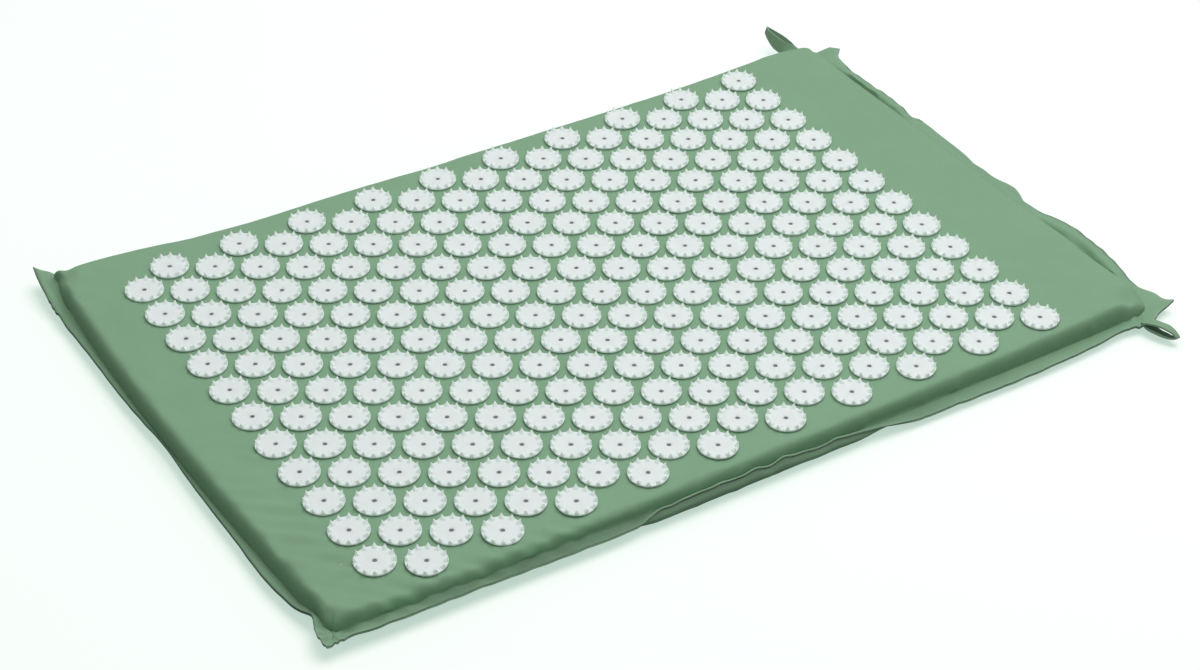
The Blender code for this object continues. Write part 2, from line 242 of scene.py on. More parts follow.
class CoverSettings(bpy.types.PropertyGroup):
    """Sizes and colours of the cloth cover and its pad."""

    colour: bpy.props.FloatVectorProperty(
        name="Cloth colour", description="Colour of the cotton",
        default=(0.215, 0.370, 0.235), subtype="COLOR")
    foam_colour: bpy.props.FloatVectorProperty(
        name="Foam colour", description="Colour of the pad",
        default=(0.780, 0.740, 0.600), subtype="COLOR")
    thread_pitch: bpy.props.FloatProperty(
        name="Thread pitch", description="Distance between two threads of the weave",
        default=0.00055, unit="LENGTH")
    mesh_step: bpy.props.FloatProperty(
        name="Mesh step", description="Distance between two stations of the cover's mesh",
        default=0.0026, unit="LENGTH")
    foot_height: bpy.props.FloatProperty(
        name="Seam height", description="Height of the seam, at the foot of the rolled edge",
        default=0.0076, unit="LENGTH")
    left_roll: bpy.props.FloatProperty(
        name="Closed end's roll", description="Depth of the rolled edge at the closed end",
        default=0.0064, unit="LENGTH")
    side_roll: bpy.props.FloatProperty(
        name="Side roll", description="Depth of the rolled edge along a long side",
        default=0.0056, unit="LENGTH")
    left_lip: bpy.props.FloatProperty(
        name="Closed end's flange", description="Width of the seam's flange at the closed end",
        default=0.0056, unit="LENGTH")
    puff: bpy.props.FloatProperty(
        name="Puff", description="How far loose cloth stands up from the pad",
        default=0.0005, unit="LENGTH")
    tuck_height: bpy.props.FloatProperty(
        name="Tuck height", description="Height of the tucks that the seam draws in the wall",
        default=0.0011, unit="LENGTH")
    tucks: bpy.props.IntProperty(
        name="Tucks", description="Number of tucks along one long side", default=17)


class MouthSettings(bpy.types.PropertyGroup):
    """Sizes of the open end of the cover."""

    roll: bpy.props.FloatProperty(
        name="Mouth's roll", description="Depth of the rolled edge at the mouth",
        default=0.0150, unit="LENGTH")
    closed_half: bpy.props.FloatProperty(
        name="Closed half", description="Half of the length that the tape holds down",
        default=0.0520, unit="LENGTH")
    closed_middle: bpy.props.FloatProperty(
        name="Closed middle", description="Middle of the length that the tape holds down",
        default=0.0080, unit="LENGTH")
    hem: bpy.props.FloatProperty(
        name="Hem", description="Thickness of the doubled hem",
        default=0.0016, unit="LENGTH")
    hook_colour: bpy.props.FloatVectorProperty(
        name="Hook tape colour", description="Colour of the hook tape",
        default=(0.190, 0.330, 0.210), subtype="COLOR")
    pile_colour: bpy.props.FloatVectorProperty(
        name="Loop tape colour", description="Colour of the napped tape",
        default=(0.205, 0.350, 0.225), subtype="COLOR")


class DiscSettings(bpy.types.PropertyGroup):
    """Sizes and colours of the moulded discs."""

    colour: bpy.props.FloatVectorProperty(
        name="Plastic colour", description="Colour of the discs",
        default=(0.785, 0.885, 0.860), subtype="COLOR")
    # Painted light: green light from the cloth, painted on the discs' thin rims and spikes
    painted_green_light: bpy.props.FloatVectorProperty(
        name="Edge colour", description="Tint of the thin edges, where light passes",
        default=(0.760, 0.930, 0.830), subtype="COLOR")
    rivet_colour: bpy.props.FloatVectorProperty(
        name="Rivet colour", description="Colour of the rivets",
        default=(0.190, 0.195, 0.205), subtype="COLOR")
    radius: bpy.props.FloatProperty(
        name="Radius", description="Radius of a disc", default=0.01305, unit="LENGTH")
    thickness: bpy.props.FloatProperty(
        name="Thickness", description="Thickness of a disc's plate", default=0.0018, unit="LENGTH")
    sides: bpy.props.IntProperty(
        name="Sides", description="Sides of the plate, every second one with a spike", default=24)
    land: bpy.props.FloatProperty(
        name="Land", description="Width of the ring that the spikes stand on",
        default=0.0029, unit="LENGTH")
    spike_lean: bpy.props.FloatProperty(
        name="Spike lean", description="How far a spike's point leans outwards",
        default=0.0016, unit="LENGTH")
    recess_radius: bpy.props.FloatProperty(
        name="Recess radius", description="Radius of the recess at the disc's middle",
        default=0.00165, unit="LENGTH")
    recess_depth: bpy.props.FloatProperty(
        name="Recess depth", description="Depth of the recess", default=0.0008, unit="LENGTH")
    first_turn: bpy.props.FloatProperty(
        name="Turn", description="Turn of the first spike",
        default=math.radians(8.0), subtype="ANGLE")
    loose_turn: bpy.props.FloatProperty(
        name="Loose turn", description="How far a disc may be turned on its rivet",
        default=math.radians(3.0), subtype="ANGLE")
    loose_tilt: bpy.props.FloatProperty(
        name="Loose tilt", description="How far a disc may tilt on the pad",
        default=math.radians(0.5), subtype="ANGLE")


class LoopSettings(bpy.types.PropertyGroup):
    """Sizes of the hanging loops."""

    length: bpy.props.FloatProperty(
        name="Length", description="Length of a loop from its seam", default=0.0330, unit="LENGTH")
    width: bpy.props.FloatProperty(
        name="Width", description="Width of the tape", default=0.0095, unit="LENGTH")
    tape: bpy.props.FloatProperty(
        name="Tape", description="Thickness of the tape", default=0.0012, unit="LENGTH")
    eye: bpy.props.FloatProperty(
        name="Eye", description="Height of the loop's eye", default=0.0062, unit="LENGTH")


class StageSettings(bpy.types.PropertyGroup):
    """Camera, lamps and floor."""

    lens: bpy.props.FloatProperty(
        name="Lens", description="Focal length of the camera, in millimetres", default=81.16)
    key: bpy.props.FloatProperty(
        name="Key", description="Power of the wide soft lamp overhead", default=41.0, unit="POWER")
    key_width: bpy.props.FloatProperty(
        name="Key width", description="Width of the soft lamp", default=1.9, unit="LENGTH")
    key_distance: bpy.props.FloatProperty(
        name="Key distance", description="Distance of the soft lamp from the mat",
        default=2.2, unit="LENGTH")
    key_tilt: bpy.props.FloatProperty(
        name="Key tilt", description="How far the soft lamp stands off from straight overhead",
        default=math.radians(15.0), subtype="ANGLE")
    key_side: bpy.props.FloatProperty(
        name="Key side", description="Direction of the soft lamp, from the mat's +X end",
        default=math.radians(10.0), subtype="ANGLE")
    sky: bpy.props.FloatProperty(
        name="Sky", description="Strength of the light from all round", default=0.36)


def ease(value):
    """A smooth step from 0 to 1."""
    value = np.clip(value, 0.0, 1.0)
    return value * value * (3.0 - 2.0 * value)


def through(points, value):
    """A smooth line through a few given points, read at one value or at many."""
    places, heights = (np.array(axis, float) for axis in zip(*points))
    slopes = np.gradient(heights, places)
    value = np.clip(value, places[0], places[-1])
    index = np.clip(np.searchsorted(places, value, side="right") - 1, 0, len(places) - 2)
    span = places[index + 1] - places[index]
    t = (value - places[index]) / span
    start, end = heights[index], heights[index + 1]
    leave, reach = span * slopes[index], span * slopes[index + 1]
    return ((2 * t**3 - 3 * t**2 + 1) * start + (t**3 - 2 * t**2 + t) * leave
            + (3 * t**2 - 2 * t**3) * end + (t**3 - t**2) * reach)


def column_of(table, column, value):
    """One column of a table, read as a smooth line over the places in its first column."""
    return through([(row[0], row[column]) for row in table], value)


def fold_share(x):
    """1 along the part of the front where the flange is folded up, 0 elsewhere."""
    return ease((x + 0.119) / 0.022) * ease((0.094 - x) / 0.045)


def ripples(x, y, length, seed, waves=7):
    """Gentle waves of about one length from all directions, from -1 to 1."""
    chance = random.Random(seed)
    total = np.zeros(np.broadcast(x, y).shape)
    for _ in range(waves):
        angle = chance.uniform(0.0, math.tau)
        pace = math.tau / (length * chance.uniform(0.7, 1.5))
        phase = chance.uniform(0.0, math.tau)
        total += np.sin(pace * (x * math.cos(angle) + y * math.sin(angle)) + phase)
    return total / math.sqrt(waves * 2)


def ridge(distance, width):
    """A rounded ridge across a distance from its line."""
    return np.exp(-((distance / width) ** 2))


def half_width(x):
    """Distance of the long outer edge from the middle line, swelling between the corners."""
    swell = 1.0 - np.abs(np.clip(x / MAT_END_X, -1.0, 1.0)) ** BULGE_POWER
    return HALF_WIDTH - SIDE_BULGE + SIDE_BULGE * swell


def roll_steps(power, steps):
    """Shares of reach and of rise up a rolled edge, from its foot to the crown."""
    shares = []
    for step in range(steps + 1):
        angle = step * math.pi / 2 / steps
        shares.append((1.0 - math.cos(angle) ** (2 / power), math.sin(angle) ** (2 / power)))
    return shares


# Lines listed: places along the mat or across it, then distances or heights
CLOSED_END_EDGE = (
    (-0.200, -0.3248), (-0.182, -0.3248), (-0.175, -0.3221), (-0.168, -0.3198), (-0.160, -0.3223),
    (-0.150, -0.3243), (-0.140, -0.3256), (-0.130, -0.3266), (-0.100, -0.3268), (-0.085, -0.3262),
    (-0.060, -0.3261), (-0.020, -0.3253), (0.015, -0.3238), (0.040, -0.3251), (0.065, -0.3258),
    (0.110, -0.3253), (0.160, -0.3248), (0.187, -0.3243), (0.204, -0.3228), (0.215, -0.3245))
CLOSED_END_SEAM = (
    (-0.200, 0.0000), (-0.180, 0.0010), (-0.168, 0.0030), (-0.155, 0.0010), (-0.130, 0.0000),
    (0.120, 0.0000), (0.150, 0.0020), (0.165, 0.0035), (0.215, 0.0042))
FRONT_SEAM_HEIGHT = (
    (-0.320, 0.0123), (-0.300, 0.0130), (-0.260, 0.0141), (-0.200, 0.0144), (-0.160, 0.0144),
    (-0.120, 0.0131), (-0.060, 0.0124), (0.000, 0.0116), (0.090, 0.0105), (0.150, 0.0100),
    (0.220, 0.0092), (0.280, 0.0082), (0.320, 0.0080))
FRONT_EDGE = (
    (-0.320, 0.1940, 0.0112), (-0.300, 0.1951, 0.0113), (-0.260, 0.1958, 0.0106),
    (-0.220, 0.1963, 0.0101), (-0.180, 0.1973, 0.0096), (-0.150, 0.1980, 0.0093),
    (-0.120, 0.1980, 0.0090), (-0.112, 0.1975, 0.0090), (-0.104, 0.1970, 0.0120),
    (-0.096, 0.1963, 0.0141), (-0.090, 0.1963, 0.0134), (-0.080, 0.1963, 0.0145),
    (-0.070, 0.1963, 0.0146), (-0.060, 0.1963, 0.0146), (-0.052, 0.1963, 0.0156),
    (-0.045, 0.1963, 0.0139), (-0.037, 0.1963, 0.0139), (-0.027, 0.1963, 0.0156),
    (-0.016, 0.1963, 0.0132), (-0.005, 0.1963, 0.0156), (0.003, 0.1963, 0.0142),
    (0.010, 0.1963, 0.0135), (0.018, 0.1963, 0.0122), (0.028, 0.1963, 0.0121),
    (0.036, 0.1965, 0.0136), (0.044, 0.1967, 0.0122), (0.055, 0.1970, 0.0110),
    (0.065, 0.1975, 0.0100), (0.075, 0.1984, 0.0091), (0.085, 0.1994, 0.0079),
    (0.095, 0.2002, 0.0066), (0.120, 0.2008, 0.0064), (0.150, 0.2014, 0.0063),
    (0.180, 0.2018, 0.0064), (0.220, 0.2008, 0.0064), (0.250, 0.1992, 0.0067),
    (0.278, 0.1971, 0.0069), (0.284, 0.1981, 0.0069), (0.288, 0.1992, 0.0070),
    (0.297, 0.1992, 0.0071), (0.301, 0.1976, 0.0072), (0.306, 0.1949, 0.0072),
    (0.320, 0.1935, 0.0074))
UNDER_FOLD = (
    (0.0, 0.1952, 0.24), (0.143, 0.1966, 0.34), (0.286, 0.1975, 0.45), (0.429, 0.1979, 0.56),
    (0.571, 0.1977, 0.66), (0.714, 0.1970, 0.76), (0.857, 0.1964, 0.83), (1.0, 0.1963, 0.88))
BACK_FLARE = (
    (-0.320, 0.0200), (-0.300, 0.0198), (-0.280, 0.0185), (-0.260, 0.0155), (-0.245, 0.0130),
    (-0.230, 0.0100), (-0.220, 0.0083), (-0.200, 0.0064), (-0.180, 0.0045), (-0.150, 0.0038),
    (-0.120, 0.0035), (-0.090, 0.0030), (-0.060, 0.0015), (-0.030, 0.0004), (0.000, 0.0002),
    (0.050, -0.0003), (0.180, -0.0003), (0.220, 0.0018), (0.240, 0.0034), (0.270, 0.0050),
    (0.285, 0.0040), (0.320, 0.0020))
HEM_EDGE = (
    (-0.200, 0.3215, 0.0080), (-0.192, 0.3225, 0.0080), (-0.185, 0.3190, 0.0080),
    (-0.178, 0.3190, 0.0080), (-0.165, 0.3140, 0.0085), (-0.158, 0.3145, 0.0090),
    (-0.140, 0.3174, 0.0111), (-0.120, 0.3199, 0.0113), (-0.105, 0.3209, 0.0113),
    (-0.095, 0.3209, 0.0113), (-0.080, 0.3189, 0.0112), (-0.070, 0.3169, 0.0106),
    (-0.062, 0.3160, 0.0088), (-0.050, 0.3160, 0.0072), (-0.042, 0.3162, 0.0064),
    (-0.035, 0.3190, 0.0066), (-0.027, 0.3204, 0.0074), (-0.020, 0.3200, 0.0070),
    (-0.012, 0.3190, 0.0060), (-0.005, 0.3182, 0.0056), (0.005, 0.3187, 0.0054),
    (0.015, 0.3177, 0.0054), (0.025, 0.3192, 0.0055), (0.040, 0.3191, 0.0064),
    (0.055, 0.3181, 0.0076), (0.070, 0.3172, 0.0092), (0.078, 0.3162, 0.0108),
    (0.082, 0.3138, 0.0106), (0.087, 0.3140, 0.0109), (0.095, 0.3152, 0.0113),
    (0.110, 0.3159, 0.0113), (0.125, 0.3154, 0.0113), (0.140, 0.3144, 0.0113),
    (0.155, 0.3144, 0.0113), (0.165, 0.3150, 0.0112), (0.175, 0.3164, 0.0108),
    (0.183, 0.3200, 0.0090), (0.190, 0.3245, 0.0085), (0.195, 0.3195, 0.0080),
    (0.200, 0.3150, 0.0080))
HEM_VALLEY = (
    (-0.165, 0.0072, 0.0000), (-0.150, 0.0046, 0.0500), (-0.125, 0.0044, 0.2000),
    (-0.112, 0.0062, 0.3200), (-0.104, 0.0082, 0.3000), (-0.095, 0.0067, 0.2000),
    (-0.085, 0.0057, 0.1500), (-0.070, 0.0077, 0.1000), (0.085, 0.0062, 0.1000),
    (0.095, 0.0044, 0.1200), (0.165, 0.0042, 0.1200), (0.172, 0.0052, 0.1000))

# Tacks that end the closed part of the hem: place across the mat, from and to along it,
# and how far its four rows stand from that place
BARTACKS = ((-0.164, 0.3050, 0.3135), (0.081, 0.3065, 0.3145))
BARTACK_SHIFTS = (-0.0011, -0.0004, 0.0004, 0.0011)

# Corner tips of the flange: corner, how far its tip is drawn, and over what reach
EARS = (
    ((-1, 1), Vector((0.0030, 0.0160, 0.0064)), 0.024),
    ((-1, -1), Vector((0.0006, -0.0016, 0.0000)), 0.014),
    ((1, 1), Vector((0.0020, -0.0010, 0.0040)), 0.020),
    ((1, -1), Vector((0.0010, 0.0030, 0.0008)), 0.016),
)


# Lines of the mesh over one edge: how far inwards each lies, its share of the flange, its rise up
# the rolled edge and how far it still lies down the roll
Stations = namedtuple("Stations", "reach share rise down")


def edge_stations(flange, roll, power, flange_steps, roll_count):
    """Lines from the outer edge of a flange up the rolled edge, measured inwards."""
    rows = []
    for step in range(flange_steps):
        share = 1.0 - step / flange_steps
        rows.append((flange * (1.0 - share), share, 0.0, 1.0))
    for inward, rise in roll_steps(power, roll_count):
        rows.append((flange + inward * roll, 0.0, rise, 1.0 - inward))
    return Stations(*np.array(rows).T)


def lengthened(values, rest, count):
    """The values of an edge's lines, and one value for all the lines beyond them."""
    return np.concatenate([values, np.full(count - len(values), rest)])


class CoverForm:
    """The cover's upper and lower surfaces, on one grid of lines that the pieces share.

    The numbers in its formulas are places, widths and heights in metres, or shares from 0 to 1.
    They follow the edges, folds and creases that the photograph shows.
    """

    # Lines over a flange, a rolled edge and the mouth's lip, the fullness of the rolled edges, and
    # the size and squareness of a corner in plan
    FLANGE_STEPS = 7
    ROLL_COUNT = 10
    LIP_STEPS = 9
    LEFT_POWER = 2.6
    SIDE_POWER = 2.7
    MOUTH_POWER = 2.2
    CORNER_BLOCK = 0.024
    CORNER_POWER = 5.0
    # The underside: depth of its rounded edge, height where the front's foot is tucked in, height
    # and rise of the mouth's lower lip, and the room for both tapes
    UNDER_DEPTH = 0.0080
    TUCKED_FOOT = 0.0032
    LIP_HEIGHT = 0.0012
    LIP_RISE = 0.0034
    TAPES = 0.0020
    # Height of the groove before the part of the mouth that the tape holds down
    HELD_GROOVE = 0.0148

    def __init__(self, cover, mouth):
        self.cover = cover
        self.mouth = mouth
        self.lip = MAT_END_X - HINGE.x + CLEARANCE * 2
        self.closed_end = edge_stations(
            cover.left_lip, cover.left_roll, self.LEFT_POWER, self.FLANGE_STEPS, self.ROLL_COUNT)
        self.side = edge_stations(
            SIDE_FLANGE, cover.side_roll, self.SIDE_POWER, self.FLANGE_STEPS, self.ROLL_COUNT)
        self.open_end = edge_stations(
            self.lip, mouth.roll, self.MOUTH_POWER, self.LIP_STEPS, self.ROLL_COUNT)
        self.lay_lines_along()
        self.lay_lines_across()
        self.lay_surface()

    def lay_lines_along(self):
        """Lines at places along the mat, from the closed end to the mouth."""
        left, right = self.closed_end, self.open_end
        start = CLOSED_EDGE_X + left.reach[-1]
        end = MAT_END_X - right.reach[-1]
        count = round((end - start) / self.cover.mesh_step)
        middle = np.linspace(start, end, count + 1)[1:-1]
        self.x = np.concatenate([
            CLOSED_EDGE_X + left.reach, middle, MAT_END_X - right.reach[::-1]])
        lines = len(self.x)
        self.left_share = lengthened(left.share, 0.0, lines)
        self.left_rise = lengthened(left.rise, 1.0, lines)
        self.lip_share = lengthened(right.share, 0.0, lines)[::-1]
        self.mouth_rise = lengthened(right.rise, 1.0, lines)[::-1]
        self.mouth_down = lengthened(right.down, 0.0, lines)[::-1]
        self.crown_end = lines - len(right.reach)

    def lay_lines_across(self):
        """Lines at places across the mat, from the front to the back."""
        side = self.side
        edge, depth = len(side.reach), side.reach[-1]
        count = 2 * round((HALF_WIDTH - depth) / self.cover.mesh_step)
        middle = np.linspace(-1.0, 1.0, count + 1)[1:-1]
        mouth = MOUTH_HALF / (half_width(HINGE.x - self.mouth.roll / 2) - depth)
        ends = [int(np.argmin(np.abs(middle - place))) for place in (-mouth, mouth)]
        middle[ends] = -mouth, mouth
        self.mouth_lines = edge + ends[0], edge + ends[1]
        self.across = np.concatenate([np.full(edge, -1.0), middle, np.full(edge, 1.0)])
        lines = len(self.across)
        self.front_share = lengthened(side.share, 0.0, lines)
        self.front_rise = lengthened(side.rise, 1.0, lines)
        self.back_share = self.front_share[::-1]
        self.back_rise = self.front_rise[::-1]
        inset = lengthened(side.reach, depth, lines)
        self.inset = np.minimum(inset, inset[::-1])

    def mouth_shares(self, y):
        """How far a place across the mouth is held by the tape, gapes, or is sewn."""
        held = self.mouth.closed_half
        closed = 1.0 - ease((np.abs(y - self.mouth.closed_middle) - held) / 0.030)
        sewn = ease((np.abs(y) - MOUTH_HALF + 0.022) / 0.024)
        return closed, np.clip(1.0 - closed - sewn, 0.0, 1.0), sewn

    def seam_heights(self, x, y):
        """How far a place belongs to the front side, and the height of the seam below it."""
        front_side = ease((-y - 0.150) / 0.035)
        front = through(FRONT_SEAM_HEIGHT, x)
        return front_side, self.cover.foot_height * (1.0 - front_side) + front * front_side

    def lay_surface(self):
        """Every point of the upper surface."""
        x = np.repeat(self.x[:, None], len(self.across), 1)
        front = self.front_share[None, :]
        back = self.back_share[None, :]
        left = self.left_share[:, None]
        lip = self.lip_share[:, None]
        half = half_width(x)
        y = np.where(np.abs(self.across)[None, :] < 1.0,
                     self.across[None, :] * (half - self.side.reach[-1]),
                     np.sign(self.across)[None, :] * (half - self.inset[None, :]))
        self.flat_x, self.flat_y = x.copy(), y.copy()
        foot = self.seam_heights(x, y)[1]
        open_rise = (self.mouth_heights(y, lip, foot) - foot) / (CROWN_Z - foot)
        softer = ease((x - 0.085) / 0.050) + ease((-0.135 - x) / 0.050)
        side_rise = self.front_rise[None, :] ** (1.0 + 0.5 * softer) * self.back_rise[None, :]
        ends_rise = np.where(x > 0.0, open_rise, self.left_rise[:, None])
        both = ends_rise * side_rise
        met = both / np.maximum(ends_rise + side_rise - both, 1e-6)
        corner = (ends_rise > 0.0) & (side_rise > 0.0)
        rise = np.where(corner, met, np.minimum(ends_rise, side_rise))
        rise = np.where(side_rise >= 1.0, ends_rise, rise)
        z = foot + (CROWN_Z - foot) * rise

        folded = fold_share(x)
        climb = (1.0 - folded) * front**0.9 + folded * ease(front / 0.45)
        z = z + (column_of(FRONT_EDGE, 2, x) - foot) * climb * (1.0 - lip)
        z = z + 0.0012 * left**1.5 * (1.0 - front) - 0.0015 * back
        x = self.shape_ends(x, y, left, lip)
        y = self.shape_sides(x, y, front, back, folded)
        x, y = self.round_corners(x, y, left, lip, front, back)
        z = self.lift_back_corner(x, y, z)
        x, y, z = self.draw_ears(x, y, z)
        wall = np.clip(1.0 - rise, 0.0, 1.0) * np.clip(rise * 6.0, 0.0, 1.0)
        x, y, z = self.fold_cloth(x, y, z, rise, wall, left, front, back)
        # Share of the cloth that turns down from the crown, away from the flanges and the mouth: it
        # gets painted shade in its colour
        self.turned = (np.clip(wall * 1.6, 0.0, 1.0) * (1.0 - np.maximum(left, front))
                       * ease((0.284 - x) / 0.010))
        self.upper = np.stack([x, y, z], -1)

    def mouth_heights(self, y, lip, foot):
        """Heights down the rolled edge of the mouth to a groove, and up from it over the hem."""
        closed, gape, sewn = self.mouth_shares(y)
        groove = closed * self.HELD_GROOVE + gape * column_of(HEM_VALLEY, 1, y) + sewn * foot
        lean = 1.0 - self.mouth_down[:, None] ** 1.6
        rise = closed * lean + (1.0 - closed) * self.mouth_rise[:, None]
        shift = column_of(HEM_VALLEY, 2, y)
        climb = closed * lip**1.25 + gape * ease((lip - shift) / 0.27) + sewn * lip
        bulge = 0.0005 * np.sin(math.pi * np.clip((lip - 0.3) / 0.7, 0.0, 1.0))
        curl = bulge - 0.0010 * ease((lip - 0.8) / 0.2)
        hem = groove + (column_of(HEM_EDGE, 2, y) - groove) * climb + gape * curl
        return np.where(lip > 0.0, hem, groove + (CROWN_Z - groove) * rise)

    def shape_ends(self, x, y, left, lip):
        """Wavy outer edges at the closed end and at the mouth, and a wavy seam."""
        near = ease((0.024 - (x - self.x[0])) / 0.018)
        seam = through(CLOSED_END_SEAM, y) * near * (1.0 - left)
        x = x + seam + (through(CLOSED_END_EDGE, y) - self.x[0]) * left
        return x + (column_of(HEM_EDGE, 1, y) - self.x[-1]) * lip

    def shape_sides(self, x, y, front, back, folded):
        """The front flange's outline, and the back edge flared towards the closed end."""
        foot = half_width(x) - SIDE_FLANGE
        reach = foot + (column_of(FRONT_EDGE, 1, x) - foot) * front ** (1.0 + 0.6 * folded)
        y = np.where(front > 0.0, -reach, y)
        share = ease((y + 0.10) / (half_width(x) + 0.10 - SIDE_FLANGE))
        return y + through(BACK_FLARE, x) * share - 0.0006 * back

    def round_corners(self, x, y, left, lip, front, back):
        """Round the crown and the seam in plan, and leave the flange's corners square."""
        block = self.CORNER_BLOCK
        foot_x = np.where(x < 0.0, CLOSED_EDGE_X + self.cover.left_lip, MAT_END_X - self.lip)
        foot_y = half_width(x) - SIDE_FLANGE + np.where(y > 0.0, through(BACK_FLARE, x), 0.0)
        p = np.clip(1.0 - (np.abs(foot_x) - np.abs(x)) / block, 0.0, 1.4)
        q = np.clip(1.0 - (foot_y - np.abs(y)) / block, 0.0, 1.4)
        power = self.CORNER_POWER
        shrink = np.maximum(p, q) / np.maximum(p**power + q**power, 1e-9) ** (1.0 / power)
        hold = 1.0 - np.maximum(np.maximum(left, lip), np.maximum(front, back))
        amount = (1.0 - shrink) * hold * np.clip(np.minimum(p, q) * 20.0, 0.0, 1.0)
        return x - np.sign(x) * amount * p * block, y - np.sign(y) * amount * q * block

    def lift_back_corner(self, x, y, z):
        """Heights of loose cloth that stands up a little where the back edge is flared."""
        beyond = ease((y - 0.184) / 0.012)
        return z + 0.06 * through(BACK_FLARE, x) * beyond

    def draw_ears(self, x, y, z):
        """Draw the flange's corners out to tips."""
        for (end, side), tip, reach in EARS:
            corner_x = self.x[0] if end < 0 else self.x[-1]
            corner_y = side * half_width(end * MAT_END_X)
            distance = np.hypot(self.flat_x - corner_x, self.flat_y - corner_y)
            weight = np.clip(1.0 - distance / reach, 0.0, 1.0) ** 1.4
            x = x + tip.x * weight
            y = y + tip.y * weight
            z = z + tip.z * weight
        return x, y, z

    def fold_cloth(self, x, y, z, rise, wall, left, front, back):
        """Tucks at the seams, creases and the soft unevenness of cloth over foam."""
        on_crown = ease((rise - 0.9) / 0.1)
        disc_field = (ease((x - FIRST_DISC.x + 0.014) / 0.010)
                      * ease((LAST_DISC.x + 0.014 - x) / 0.010)
                      * ease((0.188 - np.abs(y)) / 0.010))
        z = self.wrinkle_crown(x, y, z, on_crown, on_crown * (1.0 - disc_field))
        y, z = self.tuck_walls(x, y, z, rise, front, back)
        z = z + 0.0008 * wall * ripples(x, y, 0.018, 8)
        z = z + 0.00035 * (front + back + left) * ripples(x, y, 0.019, 9)
        z = self.crease_edges(x, y, z, rise, front)
        z = self.fan_corner_folds(x, y, z, rise)
        return x, y, np.where(disc_field > 0.5, np.minimum(z, CROWN_Z + DISC_SINK), z)

    def wrinkle_crown(self, x, y, z, on_crown, bare):
        """Heights of the crown: slight waves all over it, and puffs where it is bare of discs."""
        puffs = 0.55 * ripples(x, y, 0.042, 4) + 0.35 * ripples(x, y, 0.021, 5)
        slanted = np.sin(math.tau * (x * 0.60 + y * 0.80) / 0.030 + 2.0 * ripples(x, y, 0.080, 6))
        near_mouth = ease((x - 0.225) / 0.030)
        z = z + 0.00012 * ripples(x, y, 0.110, 3) * on_crown
        z = z + bare * self.cover.puff * puffs
        return z + bare * near_mouth * 0.00022 * slanted

    def tuck_walls(self, x, y, z, rise, front, back):
        """Places across the mat and heights, with the tucks that the long seams draw."""
        cover = self.cover
        chance = random.Random(11)
        for side, share in ((-1, front), (1, back)):
            for number in range(cover.tucks):
                along = -0.300 + 0.600 * (number + chance.uniform(0.1, 0.9)) / cover.tucks
                width = chance.uniform(0.0020, 0.0046)
                height = cover.tuck_height * chance.uniform(0.45, 1.15)
                slant = chance.uniform(-0.010, 0.010)
                line = ridge(x - along - slant * rise, width)
                reach = np.clip(1.15 - rise * chance.uniform(1.0, 1.6), 0.0, 1.0)
                amount = height * line * reach * (np.sign(y) == side) * (np.abs(y) > 0.15)
                y = y + side * amount * 0.9 * np.clip(rise * 5, 0.0, 1.0)
                z = z + amount * 0.5 * (1.0 - share * 0.4)
        return y, z

    def crease_edges(self, x, y, z, rise, front):
        """Heights with two sunk corners, puckers by the front loop and creases at the edges."""
        sunk = (0.0055 * ease((x - 0.272) / 0.018) * ease((-y - 0.170) / 0.018)
                + 0.0048 * ease((-0.300 - x) / 0.014) * ease((y - 0.186) / 0.016))
        z = z - sunk * rise.clip(0.0, 1.0)
        near_root = ridge(x - 0.289, 0.009) * ease((-y - 0.176) / 0.010)
        puckers = np.sin(math.tau * (x - 0.7 * y) / 0.0095)
        z = z + 0.0011 * near_root * puckers * np.clip(1.3 - rise, 0.2, 1.0)
        pulled = ease((-y - 0.158) / 0.030) * ease((-0.120 - x) / 0.050) * (1.0 - front)
        z = z + 0.0015 * pulled * ripples(x + 0.7 * y, 0.30 * y, 0.017, 21)
        near_end = (ease((-0.281 - x) / 0.009) * ease((x + 0.324) / 0.012)
                    * ease((y + 0.192) / 0.020) * ease((0.010 - y) / 0.060))
        return z + 0.0011 * near_end * ripples(0.16 * x - 0.11 * y, 0.57 * x + 0.82 * y, 0.0095, 22)

    def fan_corner_folds(self, x, y, z, rise):
        """Heights with the folds that fan out from the two corners of the closed end."""
        for side in (-1, 1):
            corner_y = side * (half_width(-MAT_END_X) - 0.006)
            dx, dy = x + MAT_END_X - 0.003, y - corner_y
            angle = np.arctan2(side * -dy, dx)
            distance = np.hypot(dx, dy)
            fan = np.sin(angle * 9.0 + 0.8 * side) * np.exp(-((distance - 0.020) / 0.018) ** 2)
            z = z + 0.0011 * fan * np.clip(1.2 - rise, 0.0, 1.0)
        return z

